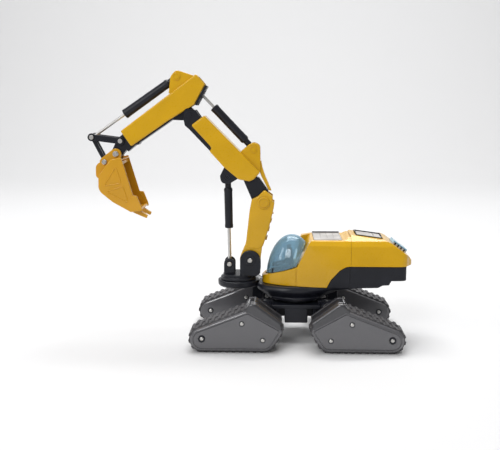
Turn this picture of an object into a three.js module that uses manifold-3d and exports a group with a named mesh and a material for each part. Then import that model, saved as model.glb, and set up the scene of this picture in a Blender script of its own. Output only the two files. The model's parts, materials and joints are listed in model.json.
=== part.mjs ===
// Four-track concept excavator, a small die-cast display model.
// Millimetres, +Z up, bucket towards -X, left side of the machine towards -Y.
// Every outline is drawn in side view (X, Z), plan (X, Y) or section (Y, Z) in the
// machine's own frame, whose X = 0 is the slew axis and whose Z = 0 is the ground.
import * as THREE from 'three';
import { mergeVertices } from 'three/addons/utils/BufferGeometryUtils.js';
import Module from 'manifold-3d';

const wasm = await Module();
wasm.setup();

// ---------- driving dimensions ----------
const SLEW_X = 28.8;            // slew axis ahead of the whole model's middle
const GAP = 0.3;                // clearance between pieces that meet
const RUNNING = 0.12;           // radial clearance of a pin in its bore
const ROUND = 3;                // segments in a rounded corner
const WALL = 1.2;               // wall of the cast boom and stick shells

// joints, side view
const TURNTABLE_X = -36;
const BOOM_PIVOT = [-28.6, 49.5];
const KNEE = [-20.2, 85.2];
const BOOM_ROD_FOOT = [-41.6, 46.2];
const BOOM_BARREL_EYE = [-42.6, 100.6];
const STICK_PIVOT = [-66.1, 139.3];
const STICK_BARREL_EYE = [-26.7, 117.9];
const STICK_ROD_EYE = [-61.2, 154.2];
const BUCKET_BARREL_EYE = [-73.4, 161.8];
const ROCKER_PIVOT = [-108.5, 122.9];
const ROCKER_TIP = [-126.2, 125.2];
const BUCKET_PIVOT = [-111.4, 115.0];
const LINK_PIVOT = [-118.5, 110.1];
const LEG_PIVOT = [-18, 22.6];

// half-widths across the machine
const BOOM_HALF = 6.6;
const STICK_HALF = 5.6;
const BOOM_NECK_HALF = 4.0;
const FORK_GAP = 3.1;
const FORK_EYE = 3.3;
const FORK_SLOT = 7.7;
const BRACKET_HALF = 4.3;
const FOOT_OUTER = 8.9;
const EYE_HALF = 2.5;
const BUCKET_HALF = 12.5;
const EAR_INNER = 3.9;
const EAR_OUTER = 5.3;
const HOUSE_HALF = 18.6;

// pins: shaft radius, head radius and head thickness
const LEG_PIN = { shaft: 1.4, head: 2.1, thick: 1 };
const BOOM_PIN = { shaft: 1.4, head: 1.9, thick: 0.8 };
const CYLINDER_FOOT_PIN = { shaft: 1.1, head: 1.8, thick: 0.8 };
const KNEE_PIN = { shaft: 1.8, head: 3.7, thick: 1 };
const ROCKER_PIN = { shaft: 1.1, head: 1.4, thick: 0.5 };
const ROCKER_TIP_PIN = { shaft: 1, head: 1.5, thick: 0.5 };
const BUCKET_PIN = { shaft: 1.3, head: 1.8, thick: 0.7 };
const LINK_PIN = { shaft: 0.9, head: 1.6, thick: 0.7 };
const STICK_PIN = 1.6;
const STICK_ROD_PIN = 1;
const TRUNNION = 1.2;
const LINK_BORE = 1.9;
const SLEW_BORE = 2.7;
const THROUGH = 12;             // bores reach this far to each side, past every plate

// cylinders: the tube starts at `neckEnd` from its eye and ends at `length`
const TUBE_BORE = 2.1;
const TUBE_NECK = 1.9;
const TUBE_EYE = 2.3;
const BOOM_CYLINDER = { neckEnd: 7, length: 32, foot: 2.7, mouth: 2.5, rod: 1.1, reach: 31, eye: 2.4 };
const STICK_CYLINDER = { neckEnd: 7.4, length: 35.4, foot: 2.7, mouth: 2.6, rod: 0.9, reach: 28, eye: 2 };
const BUCKET_CYLINDER = { neckEnd: 6.4, length: 40, foot: 2.7, mouth: 2.6, rod: 0.9, reach: 35, eye: 1.9 };

// track units, front left one
const TRACK_OUTER = 41;
const TRACK_INNER = 22.5;
const COVER_PLATE = 1.5;
const LUG = 0.9;
const LUG_PITCH = 5.2;
const BELT_THICKNESS = 1.6;
const COVER_INSET = 1.5;
const IDLER = [-56, 8.2, 8.2];
const LOWER_WHEEL = [-19.6, 8.2, 8.2];
const INNER_WHEEL = [-10.9, 13.6, 3.3];
const APEX_WHEEL = [-28.8, 23.4, 4.0];
const COVER_RIVETS = [[-56, 8.8], [-32.3, 18.1], [-20, 8.2]];
const RIVET_RADIUS = 1.5;
const RIVET_HEIGHT = 0.3;
const KNUCKLE_INNER = 14.4;     // inner end of a leg's hub, beside the chassis lugs
const KNUCKLE_OUTER = 20.5;
const LUG_INNER = 9.4;          // chassis lugs, either side of the frame
const LUG_OUTER = 13.9;
const ARM_INNER = 17.8;
const LEG_SIDES = [
  ['front_left', 1, 1],
  ['front_right', 1, -1],
  ['rear_left', -1, 1],
  ['rear_right', -1, -1],
];

// heights
const PLATE_TOP = 24;
const RING_TOP = 25.7;
const HULL_BOTTOM = 26;
const BODY_BOTTOM = 34.9;
const DISC_BOTTOM = 32.2;
const DISC_TOP = 36.2;
const TURNTABLE_TOP = 40;
const DISC_RADIUS = 13;
const WAIST = 48;

// ---------- materials ----------
const paint = (color, roughness, metalness) =>
  new THREE.MeshStandardMaterial({ color, roughness, metalness });
const bodyYellow = paint(0xd2a033, 0.4, 0.1);
const bucketYellow = paint(0xcf9428, 0.45, 0.1);
const blackPlastic = paint(0x1e2028, 0.45, 0);
const trackGrey = paint(0x66646a, 0.5, 0.4);
const beltGrey = paint(0x46464b, 0.75, 0);
const steel = paint(0xc9c9cc, 0.25, 1);
const ventSilver = paint(0xa9abae, 0.4, 0.5);
const blueClear = new THREE.MeshStandardMaterial({
  color: 0x5a94b4, roughness: 0.1, metalness: 0, transparent: true, opacity: 0.5,
});

// ---------- outlines ----------
// A corner [x, y, radius] is rounded with a true arc; [x, y] stays sharp.
function outline(points) {
  const shape = new THREE.Shape();
  const count = points.length;
  points.forEach(([x, y, radius = 0], i) => {
    if (radius === 0) {
      if (i === 0) shape.moveTo(x, y);
      else shape.lineTo(x, y);
      return;
    }
    const corner = new THREE.Vector2(x, y);
    const before = new THREE.Vector2(...points[(i + count - 1) % count]).sub(corner).normalize();
    const after = new THREE.Vector2(...points[(i + 1) % count]).sub(corner).normalize();
    const half = Math.acos(before.dot(after)) / 2;
    const reach = radius / Math.tan(half);
    const centre = before.clone().add(after).normalize()
      .multiplyScalar(radius / Math.sin(half)).add(corner);
    const start = before.multiplyScalar(reach).add(corner);
    const end = after.multiplyScalar(reach).add(corner);
    const a0 = Math.atan2(start.y - centre.y, start.x - centre.x);
    const a1 = Math.atan2(end.y - centre.y, end.x - centre.x);
    const clockwise = THREE.MathUtils.euclideanModulo(a1 - a0, 2 * Math.PI) > Math.PI;
    if (i === 0) shape.moveTo(start.x, start.y);
    else shape.lineTo(start.x, start.y);
    shape.absarc(centre.x, centre.y, radius, a0, a1, clockwise);
  });
  return shape;
}

// The belt line around a convex row of circles [x, y, r], listed anticlockwise.
function wrap(circles) {
  const shape = new THREE.Shape();
  const count = circles.length;
  const bearing = ([x0, y0, r0], [x1, y1, r1]) => {
    const length = Math.hypot(x1 - x0, y1 - y0);
    return Math.atan2(y1 - y0, x1 - x0) - Math.acos((r0 - r1) / length);
  };
  circles.forEach((circle, i) => {
    const a0 = bearing(circles[(i + count - 1) % count], circle);
    const a1 = bearing(circle, circles[(i + 1) % count]);
    const [x, y, r] = circle;
    shape.absarc(x, y, r, a0, a1, false);
  });
  shape.closePath();
  return shape;
}

const grown = (circles, by) => circles.map(([x, y, r]) => [x, y, r + by]);

// ---------- solids ----------
function solid(geometry) {
  geometry.deleteAttribute('normal');
  geometry.deleteAttribute('uv');
  const merged = mergeVertices(geometry, 1e-4);
  return new wasm.Manifold(new wasm.Mesh({
    numProp: 3,
    vertProperties: new Float32Array(merged.attributes.position.array),
    triVerts: new Uint32Array(merged.index.array),
  }));
}

const join = (first, ...rest) => rest.reduce((a, b) => a.add(b), first);
const cut = (first, ...rest) => rest.reduce((a, b) => a.subtract(b), first);
const common = (first, ...rest) => rest.reduce((a, b) => a.intersect(b), first);

const extruded = (shape, depth) =>
  new THREE.ExtrudeGeometry(shape, { depth, curveSegments: ROUND, bevelEnabled: false });

// side view outline, from y0 to y1
function side(shape, y0, y1) {
  const geometry = extruded(shape, y1 - y0);
  return solid(geometry.rotateX(Math.PI / 2).translate(0, y1, 0));
}
const across = (shape, half) => side(shape, -half, half);
const bothSides = (shape, inner, outer) => [side(shape, inner, outer), side(shape, -outer, -inner)];

// plan outline, from z0 to z1
const flat = (shape, z0, z1) => solid(extruded(shape, z1 - z0).translate(0, 0, z0));

// section outline (Y, Z), from x0 to x1
function lengthwise(shape, x0, x1) {
  const geometry = extruded(shape, x1 - x0);
  return solid(geometry.rotateX(Math.PI / 2).rotateZ(Math.PI / 2).translate(x0, 0, 0));
}

const box = (x0, x1, y0, y1, z0, z1) => solid(
  new THREE.BoxGeometry(x1 - x0, y1 - y0, z1 - z0)
    .translate((x0 + x1) / 2, (y0 + y1) / 2, (z0 + z1) / 2));

// round bar along Y
const bar = ([x, z], radius, y0, y1, segments = 12) => solid(
  new THREE.CylinderGeometry(radius, radius, y1 - y0, segments)
    .translate(x, (y0 + y1) / 2, z));

// round bar from one side view point to another, in the middle plane
function rod([x0, z0], [x1, z1], radius0, radius1, from, to, segments = 10) {
  const geometry = new THREE.CylinderGeometry(radius1, radius0, to - from, segments)
    .translate(0, (from + to) / 2, 0)
    .rotateX(Math.PI / 2)
    .rotateY(Math.atan2(x1 - x0, z1 - z0));
  return solid(geometry.translate(x0, 0, z0));
}

// turned about a vertical axis; the profile is [radius, z] from axis to axis
const turned = (x, profile, segments = 28) => solid(
  new THREE.LatheGeometry(profile.map(([r, z]) => new THREE.Vector2(r, z)), segments)
    .rotateX(Math.PI / 2)
    .translate(x, 0, 0));

// ---------- scene ----------
const group = new THREE.Group();
const machine = new THREE.Group();
machine.position.x = SLEW_X;
group.add(machine);

function piece(name, body, material, parent = machine) {
  const { vertProperties, triVerts } = body.getMesh();
  const geometry = new THREE.BufferGeometry();
  geometry.setAttribute('position', new THREE.BufferAttribute(vertProperties, 3));
  geometry.setIndex(new THREE.BufferAttribute(triVerts, 1));
  geometry.computeVertexNormals();
  const mesh = new THREE.Mesh(geometry, material.clone());
  mesh.name = name;
  parent.add(mesh);
}

// pin across the machine, with a head on each end
function headedPin(at, { shaft, head, thick }, half) {
  return join(
    bar(at, shaft, -half, half),
    bar(at, head, half, half + thick),
    bar(at, head, -half - thick, -half));
}

// bore for a pin, through everything at one place
const bore = (at, radius) => bar(at, radius + RUNNING, -THROUGH, THROUGH);

// ---------- track units ----------
function toothedBelt(circles) {
  const body = wrap(circles);
  const path = body.getSpacedPoints(Math.round(body.getLength() / LUG_PITCH) * 4);
  path.pop();
  return new THREE.Shape(path.map((point, i) => {
    const before = path[(i + path.length - 1) % path.length];
    const after = path[(i + 1) % path.length];
    const outward = new THREE.Vector2(after.y - before.y, before.x - after.x).normalize();
    return point.clone().addScaledVector(outward, i % 4 < 2 ? LUG : 0);
  }));
}

function trackUnit(name, alongX, alongY) {
  const unit = new THREE.Group();
  unit.scale.set(alongX, alongY, 1);
  machine.add(unit);
  const wheels = [IDLER, LOWER_WHEEL, INNER_WHEEL, APEX_WHEEL];
  const coverShape = () => wrap(grown(wheels, -COVER_INSET));
  const fillShape = () => wrap(grown(wheels, -LUG - BELT_THICKNESS - GAP));
  const beltOuter = TRACK_OUTER - COVER_PLATE - GAP;
  const beltInner = TRACK_INNER + COVER_PLATE + GAP;
  const middle = (TRACK_OUTER + TRACK_INNER) / 2;

  const rivets = COVER_RIVETS.map((at) =>
    bar(at, RIVET_RADIUS, -TRACK_OUTER - RIVET_HEIGHT, -TRACK_OUTER + 1));
  piece(`${name}_outer_cover`, join(
    side(coverShape(), -TRACK_OUTER, -beltOuter - GAP),
    side(fillShape(), -beltOuter - GAP, -middle - GAP / 2),
    ...rivets), trackGrey, unit);
  piece(`${name}_inner_cover`, join(
    side(coverShape(), -beltInner + GAP, -TRACK_INNER),
    side(fillShape(), -middle + GAP / 2, -beltInner + GAP)), trackGrey, unit);

  const beltLine = grown(wheels, -LUG);
  piece(`${name}_belt`, cut(
    side(toothedBelt(beltLine), -beltOuter, -beltInner),
    side(wrap(grown(beltLine, -BELT_THICKNESS)), -TRACK_OUTER, 0)), beltGrey, unit);

  // fender: a crowned plate over the inner slope with a raised head at the apex
  const fender = outline([
    [-29.8, 28], [-28.6, 30.4, 0.8], [-24.4, 30.4, 1.5], [-8.6, 18.9, 0.6], [-9.8, 17.2], [-26.2, 27.4],
  ]);
  piece(`${name}_fender`, side(fender, -TRACK_OUTER + 0.2, -TRACK_INNER), trackGrey, unit);

  // leg: a three-cornered lever between the chassis knuckle and the inner cover
  const armOuter = TRACK_INNER - GAP;
  const arm = cut(
    join(
      side(wrap([[-26.2, 19.5, 2], [...LEG_PIVOT, 3], [-25.5, 26.2, 2.6]]), -armOuter, -ARM_INNER),
      bar(LEG_PIVOT, 3, -KNUCKLE_OUTER, -KNUCKLE_INNER)),
    bar(LEG_PIVOT, LEG_PIN.shaft + RUNNING, -armOuter - 1, -10),
    bar(LEG_PIVOT, LEG_PIN.head + 0.5, -armOuter - 1, -KNUCKLE_OUTER));
  piece(`${name}_arm`, arm, blackPlastic, unit);
  piece(`${name}_arm_pin`, join(
    bar(LEG_PIVOT, LEG_PIN.shaft, -KNUCKLE_OUTER - GAP, -LUG_INNER + 0.2),
    bar(LEG_PIVOT, LEG_PIN.head, -KNUCKLE_OUTER - GAP - LEG_PIN.thick, -KNUCKLE_OUTER - GAP)), steel, unit);
}
LEG_SIDES.forEach(([name, alongX, alongY]) => trackUnit(name, alongX, alongY));

// ---------- chassis ----------
const slewBore = (z0, z1) => turned(0, [[0, z0], [SLEW_BORE, z0], [SLEW_BORE, z1], [0, z1]], 16);

function chassisFrame() {
  const half = 20;
  const column = box(-7, 7, -half, half, 13, PLATE_TOP - 2);
  const plate = box(-15, 15, -half, half, PLATE_TOP - 2.3, PLATE_TOP);
  let frame = join(column, plate);
  for (const sx of [-1, 1]) {
    const hip = outline([[0, 22], [0, 15.5], [sx * 14.5, 15.5, 5.5], [sx * 14.5, 22]]);
    const pivot = [sx * -LEG_PIVOT[0], LEG_PIVOT[1]];
    const lug = outline([
      [0, 19.6], [sx * 21, 19.6, 2.9], [sx * 21, 25.6, 2.9], [sx * 14, 25.6], [sx * 13, 23], [0, 23],
    ]);
    frame = join(frame, across(hip, LUG_OUTER), ...bothSides(lug, LUG_INNER, LUG_OUTER));
    // the pin's bore, then room for each leg's hub beside the plate
    frame = cut(frame, bar(pivot, LEG_PIN.shaft + RUNNING, -half, half));
    for (const [y0, y1] of [[-half - 1, -LUG_OUTER - 0.2], [LUG_OUTER + 0.2, half + 1]]) {
      frame = cut(frame, bar(pivot, 3.4, y0, y1));
    }
  }
  return cut(frame, slewBore(10, 30));
}
piece('chassis_frame', chassisFrame(), blackPlastic);
piece('slew_ring', turned(0, [
  [SLEW_BORE, PLATE_TOP + GAP], [15, PLATE_TOP + GAP], [15, RING_TOP], [SLEW_BORE, RING_TOP],
  [SLEW_BORE, PLATE_TOP + GAP],
]), blackPlastic);
piece('slew_pin', turned(0, [
  [0, 11.6], [4.2, 11.6], [4.2, 12.7], [2.5, 12.7], [2.5, 31], [0, 31],
], 16), steel);

// ---------- house ----------
// plan outline of the yellow body, drawn in by `inset`
function bodyPlan(inset) {
  const nose = -21.3 + inset;
  const tail = 71 - inset;
  const half = HOUSE_HALF - inset;
  const shape = new THREE.Shape();
  shape.moveTo(nose, 0);
  shape.bezierCurveTo(nose, -half * 0.6, 0, -half * 0.92, 20, -half);
  shape.lineTo(57, -half);
  shape.bezierCurveTo(tail - 7, -half, tail - 4.5, -half * 0.97, tail - 3.5, -half * 0.84);
  shape.bezierCurveTo(tail - 2.4, -half * 0.68, tail, -half * 0.6, tail, -half * 0.42);
  shape.lineTo(tail, half * 0.42);
  shape.bezierCurveTo(tail, half * 0.6, tail - 2.4, half * 0.68, tail - 3.5, half * 0.84);
  shape.bezierCurveTo(tail - 4.5, half * 0.97, tail - 7, half, 57, half);
  shape.lineTo(20, half);
  shape.bezierCurveTo(0, half * 0.92, nose, half * 0.6, nose, 0);
  return shape;
}

// section of the yellow body: near vertical sides, chamfered roof
function bodySection(inset) {
  const right = [
    [HOUSE_HALF - inset, 46], [17.3 - inset, 60], [15.6 - inset, 63 - inset], [9.5, 66.3 - inset],
  ];
  const left = right.map(([y, z]) => [-y, z]).reverse();
  return outline([[HOUSE_HALF - inset, 30], ...right, ...left, [-HOUSE_HALF + inset, 30]]);
}

function bodyBlock(sideOutline, inset) {
  return common(
    across(sideOutline, HOUSE_HALF + 1),
    flat(bodyPlan(inset), 25, 70),
    lengthwise(bodySection(inset), -30, 80));
}

const SEAM_X = 33;
const ARCH_X = 18.5;
const sillLine = [[-19.2, 40.2], [0.4, 46.4]];
const pillarTop = [7.4, 61.4];

// the arch over the black skirt, as corner points of the yellow body's lower edge
const archCorner = [[ARCH_X, BODY_BOTTOM], [ARCH_X + 2.5, 40.2], [ARCH_X + 8, 45.6], [SEAM_X, WAIST]];

const ROOF_VENT = { x0: 10.4, x1: 28, half: 13.4, z: 63.4, depth: 0.9 };
const REAR_VENT = { start: 2.9, end: 19.9, half: 8.6, depth: 0.9 };
const REAR_ROOF = [[33.6, 66.2], [54.5, 63.4]];
const TAIL_SLOPE = [[57.5, 62], [68.4, 54]];
const LIGHT = { start: 1.8, end: 12.6, half: 8, depth: 1.2, height: 1.8 };

// a strip laid on a sloping line: from `start` to `end` along it, `below` to `above` it
function onSlope([[x0, z0], [x1, z1]], start, end, below, above, half) {
  const along = new THREE.Vector2(x1 - x0, z1 - z0).normalize();
  const normal = new THREE.Vector2(-along.y, along.x);
  const at = (s, n) => {
    const point = new THREE.Vector2(x0, z0).addScaledVector(along, s).addScaledVector(normal, n);
    return [point.x, point.y];
  };
  return across(outline([at(start, below), at(end, below), at(end, above), at(start, above)]), half);
}

function ventRecess() {
  const { x0, x1, half, z, depth } = ROOF_VENT;
  return box(x0, x1, -half, half, z - depth, z + 6);
}

function frontShell() {
  const outer = outline([
    [-21.3, BODY_BOTTOM, 0.8], ...archCorner, [SEAM_X, 64.6], [30.4, ROOF_VENT.z],
    [9.2, ROOF_VENT.z], pillarTop, sillLine[1], sillLine[0], [-21.3, 39, 1],
  ]);
  const cockpit = outline([[-19, 30], [-1.2, 30], [-1.2, 52], [-19, 52]]);
  const bay = outline([
    [1.6, 30], [ARCH_X - 1.5, 30], [ARCH_X - 1.5, 36], [ARCH_X + 1.5, 41.4], [ARCH_X + 7.2, 46.9],
    [SEAM_X + 1, 49.4], [SEAM_X + 1, 62], [8.9, 62], [1.6, 46.2],
  ]);
  const rightShoulder = common(
    side(outline([[0.4, 46.4], [3.4, 62.2, 1], [9.4, ROOF_VENT.z], [9.4, 60], [2.4, 45]]), 10.6, 19),
    lengthwise(bodySection(0), -30, 80));
  return cut(
    join(bodyBlock(outer, 0), rightShoulder),
    bodyBlock(cockpit, 1.5),
    bodyBlock(bay, 1.5),
    ventRecess());
}
piece('front_body_shell', frontShell(), bodyYellow);

function rearShell() {
  const x0 = SEAM_X + GAP;
  const outer = outline([
    [x0, WAIST], [71, WAIST], [71, 50.4, 1], TAIL_SLOPE[1], TAIL_SLOPE[0], REAR_ROOF[1],
    REAR_ROOF[0], [x0, 65.2],
  ]);
  const bay = outline([
    [x0 - 1, WAIST - 1], [69.4, WAIST - 1], [69.4, 50], [67.2, 52.2], [56.2, 60.2], [53.8, 61.5],
    [34.4, 64.2], [x0 - 1, 64.2],
  ]);
  return cut(
    bodyBlock(outer, 0),
    bodyBlock(bay, 1.5),
    onSlope(REAR_ROOF, REAR_VENT.start, REAR_VENT.end, -REAR_VENT.depth, 3, REAR_VENT.half),
    onSlope(TAIL_SLOPE, LIGHT.start, LIGHT.end, -LIGHT.depth, 4, LIGHT.half));
}
piece('rear_body_shell', rearShell(), bodyYellow);

// vents: a frame with a row of sunken panels
function ventFront() {
  const { x0, x1, half, z, depth } = ROOF_VENT;
  const plate = box(x0 + GAP, x1 - GAP, -half + GAP, half - GAP, z - depth + GAP, z + 0.35);
  const cell = (x1 - x0 - 2 * GAP) / 4;
  const cells = [0, 1, 2, 3].map((i) => box(
    x0 + GAP + i * cell + 0.4, x0 + GAP + (i + 1) * cell - 0.4, -half + 1.2, half - 1.2, z, z + 1));
  return cut(plate, ...cells);
}
piece('roof_vent_front', ventFront(), ventSilver);

const ventRear = () => {
  const start = REAR_VENT.start + GAP;
  const end = REAR_VENT.end - GAP;
  return cut(
    onSlope(REAR_ROOF, start, end, -REAR_VENT.depth + GAP, 0.5, REAR_VENT.half - GAP),
    onSlope(REAR_ROOF, start + 1, end - 5.4, 0, 1, REAR_VENT.half - 1.6),
    onSlope(REAR_ROOF, end - 4.4, end - 0.8, 0, 1, REAR_VENT.half - 1.6));
};
piece('roof_vent_rear', ventRear(), ventSilver);

const rearLight = () => onSlope(
  TAIL_SLOPE, LIGHT.start + GAP, LIGHT.end - GAP, -LIGHT.depth + GAP, LIGHT.height, LIGHT.half - GAP);
piece('rear_light', rearLight(), blueClear);

// black hull under the body, round over the slew ring and drawn out to the rear
function houseTray() {
  const profile = outline([
    [-24.5, BODY_BOTTOM - GAP], [-24.5, 31.6], [-21, 28.6], [-17, HULL_BOTTOM], [17, HULL_BOTTOM],
    [22, 28.9], [31.5, 32.2], [43, 33], [49, 34.6],
  ]);
  const band = 30.4;
  const section = outline([
    [-12.4, HULL_BOTTOM - 1], [12.4, HULL_BOTTOM - 1], [17.9, band], [17.9, 40], [-17.9, 40], [-17.9, band],
  ]);
  const plan = wrap([[-8, 0, 17.2], [36, 0, 17.9]]);
  return cut(
    join(
      common(across(profile, 19), lengthwise(section, -30, 60), flat(plan, 20, 36)),
      turned(0, [[0, HULL_BOTTOM], [18.4, HULL_BOTTOM], [19.2, 28], [0, 28]])),
    slewBore(20, 40),
    turned(TURNTABLE_X, [[0, 20], [DISC_RADIUS + GAP, 20], [DISC_RADIUS + GAP, 50], [0, 50]]));
}
piece('house_tray', houseTray(), blackPlastic);

// black skirt below the rear shell
function rearSkirt() {
  const skirt = outline([
    [ARCH_X + 0.5, BODY_BOTTOM - 0.2], [SEAM_X + 9, BODY_BOTTOM - 0.2], [49.6, BODY_BOTTOM],
    [52.4, 36.4], [56.2, 36.6], [57.6, 39.2], [66.8, 39.2], [66.8, WAIST - GAP], [SEAM_X, WAIST - GAP],
    [ARCH_X + 8.2, 45.2], [ARCH_X + 2.9, 40],
  ]);
  const hollow = outline([
    [ARCH_X + 4, 30], [SEAM_X + 12, 30], [55, 41], [65, 41], [65, 52], [SEAM_X, 52], [SEAM_X, 46.4],
    [ARCH_X + 9, 43.6], [ARCH_X + 5, 40],
  ]);
  const within = (shape, inset) => common(
    across(shape, HOUSE_HALF), flat(bodyPlan(0.3 + inset), 20, 60));
  return cut(within(skirt, 0), within(hollow, 1.5));
}
piece('rear_skirt', rearSkirt(), blackPlastic);

// clear canopy: part of an ellipsoid, cut by the sill and the pillars
const DOME = { x: -2.6, z: 37, rx: 16, ry: 14.4, rz: 27.8, wall: 1 };
const ellipsoid = (by) => solid(new THREE.SphereGeometry(1, 24, 14)
  .scale(DOME.rx + by, DOME.ry + by, DOME.rz + by)
  .translate(DOME.x, 0, DOME.z));

function cabDome() {
  const visible = outline([
    [-25, 38.8], [-19.2, 40.6], [-0.1, 46.8], [6.8, 61.8], [8.6, 63.9], [8.6, 70], [-25, 70],
  ]);
  const clearOfShoulder = side(outline([[-2, 44], [3, 64], [12, 66], [12, 40]]), 10.2, 20);
  return cut(
    common(cut(ellipsoid(0), ellipsoid(-DOME.wall)), across(visible, 20)),
    clearOfShoulder);
}
piece('cab_dome', cabDome(), blueClear);

// seat in the cockpit, standing on the tray
piece('cab_seat', across(outline([
  [-12, BODY_BOTTOM], [-2.4, BODY_BOTTOM], [-1.8, 50], [-3.2, 55.5, 1.2], [-6.4, 55.5, 1.2],
  [-6.6, 46], [-12, 45, 1],
]), 4.6), blackPlastic);

// ---------- boom turntable ----------
piece('turntable_base', turned(TURNTABLE_X, [
  [0, DISC_BOTTOM], [DISC_RADIUS - 0.8, DISC_BOTTOM], [DISC_RADIUS, DISC_BOTTOM + 0.8],
  [DISC_RADIUS, DISC_TOP - 0.5], [DISC_RADIUS - 0.5, DISC_TOP], [0, DISC_TOP],
]), blackPlastic);

function boomTurntable() {
  const tiers = turned(TURNTABLE_X, [
    [0, DISC_TOP + GAP], [11.2, DISC_TOP + GAP], [11.2, 38.3], [9.8, 38.5], [9.8, TURNTABLE_TOP],
    [0, TURNTABLE_TOP],
  ]);
  const foot = outline([
    [-34.8, TURNTABLE_TOP - 0.5], [-24.6, TURNTABLE_TOP - 0.5], [-22.2, 41.4], [-22.2, 55.7, 6.2],
    [-34.8, 55.7, 6.2],
  ]);
  const cylinderFoot = outline([
    [-45.1, TURNTABLE_TOP - 0.5], [-38.1, TURNTABLE_TOP - 0.5], [-38.1, 49.7, 3.4], [-45.1, 49.7, 3.4],
  ]);
  const brackets = [
    ...bothSides(foot, BOOM_HALF + 0.4, FOOT_OUTER),
    ...bothSides(cylinderFoot, EYE_HALF + GAP, BRACKET_HALF),
  ];
  const web = box(-24.4, -22.2, -FOOT_OUTER, FOOT_OUTER, 41.4, 42.4);
  return cut(
    join(tiers, web, ...brackets),
    bore(BOOM_PIVOT, BOOM_PIN.shaft),
    bore(BOOM_ROD_FOOT, CYLINDER_FOOT_PIN.shaft));
}
piece('boom_turntable', boomTurntable(), blackPlastic);
piece('boom_pivot_pin', headedPin(BOOM_PIVOT, BOOM_PIN, FOOT_OUTER + GAP), steel);
piece('boom_cylinder_foot_pin',
  headedPin(BOOM_ROD_FOOT, CYLINDER_FOOT_PIN, BRACKET_HALF + GAP), steel);

// ---------- lower boom ----------
function lowerBoom() {
  const blade = outline([
    [-21.4, 56], [-19.6, 61], [-16.6, 70.6], [-14, 82], [-13.6, 85.4], [-14.8, 86.2], [-14.6, 89.2, 1],
    [-19.8, 93.2, 1.4], [-23.8, 89.2], [-27.6, 87.4, 0.8], [-29, 80], [-31.6, 57],
  ]);
  const foot = wrap([[...BOOM_PIVOT, 6.4], [-26.6, 57, 5.4]]);
  const kneeSlot = outline([[-34, 79.4], [-25, 78.6], [-12, 78.6], [-12, 98], [-34, 98]]);
  return cut(
    join(across(blade, BOOM_HALF), across(foot, BOOM_HALF - 0.2)),
    across(kneeSlot, BOOM_NECK_HALF + 0.4),
    bore(BOOM_PIVOT, BOOM_PIN.shaft),
    bore(KNEE, KNEE_PIN.shaft));
}
piece('lower_boom', lowerBoom(), bodyYellow);
piece('knee_pin', headedPin(KNEE, KNEE_PIN, BOOM_HALF + GAP), bodyYellow);

// ---------- upper boom ----------
const boomTop = [[-22.4, 104], [-56.5, 138.6]];

function upperBoomShell() {
  const skin = outline([
    ...boomTop, [-64.6, 132.6, 0.6], [-53.5, 120.6], [-52.4, 118.8], [-53.4, 116.6], [-44.6, 107],
    [-35.7, 99.6, 1], [-29, 98.4, 1], [-26.4, 99.6, 0.8],
  ]);
  const inside = outline([
    [-24.2, 104.1], [-58.2, 138.6], [-75, 140], [-70, 110], [-40, 88], [-24, 92], [-24.4, 101.4],
  ]);
  const bracket = outline([
    [-35.2, 116], [-29.3, 121, 2], [STICK_BARREL_EYE[0], 122.4], [-22.6, 120.6, 3], [-22.3, 111],
    [-22.4, 104.2], [-25.2, 105], [-34.2, 114.4],
  ]);
  const cheeks = cut(across(bracket, BRACKET_HALF), across(outline([
    [-37, 117.4], [-31, 112.6], [-24.2, 112.6], [-19, 117], [-19, 126], [-37, 126],
  ]), EYE_HALF + GAP));
  return cut(
    join(cut(across(skin, BOOM_HALF), across(inside, BOOM_HALF - WALL)), cheeks),
    bore(STICK_BARREL_EYE, TRUNNION));
}
piece('upper_boom_shell', upperBoomShell(), bodyYellow);

function upperBoomCore() {
  const half = BOOM_HALF - WALL - GAP;
  const body = outline([
    [-25.2, 102.6], [-58.4, 136.8], [-62, 142], [-69.6, 138, 2], [-68.6, 132.4, 1], [-66.2, 130.4, 1],
    [-53.8, 117.4], [-45, 108.2], [-36.2, 101], [-29.4, 99.8], [-27, 100.6],
  ]);
  const neck = outline([
    [-33, 99.4], [-27.4, 86.4], [KNEE[0] - 1.2, 80.7, 3.6], [KNEE[0] + 4.4, 81.4, 3.6],
    [-17.6, 92.4], [-23, 100.2], [-26.4, 101.6], [-28, 104],
  ]);
  const belly = outline([
    [-47.2, 110], [-47, 99.2, 3.6], [-41, 96.6, 3], [-35, 100.6], [-38, 104],
  ]);
  const room = EYE_HALF + GAP;
  const bellyCheeks = cut(
    across(belly, BRACKET_HALF),
    bar(BOOM_BARREL_EYE, 4.6, -room, room),
    box(-50, -35, -room, room, 92, BOOM_BARREL_EYE[1]));
  const forkEye = bar(STICK_PIVOT, FORK_EYE, -half, half);
  return cut(
    join(across(body, half), across(neck, BOOM_NECK_HALF), bellyCheeks, forkEye),
    bore(KNEE, KNEE_PIN.shaft),
    bore(BOOM_BARREL_EYE, TRUNNION),
    bar(BOOM_BARREL_EYE, 3.6, -room, room),
    bar(STICK_PIVOT, FORK_SLOT, -FORK_GAP, FORK_GAP, 20),
    bore(STICK_PIVOT, STICK_PIN));
}
piece('upper_boom_core', upperBoomCore(), blackPlastic);

// curved rib that closes the back of the neck
piece('boom_neck_rib', across(outline([
  [-21.8, 110.6], [-21.8, 104.4], [-20.6, 101.2], [-16.4, 92.8], [-15, 93.2], [-18.8, 101.4],
  [-20.4, 106.4], [-21.2, 110.8],
]), 3), bodyYellow);

// ---------- stick ----------
const stickTop = [[-108.2, 129], [-61.5, 163.4]];
// groove that the bucket cylinder lies in when the bucket is fully curled
const LOWERED_ROCKER_TIP = [-123.5, 121.6];
const GROOVE = 3;

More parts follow.
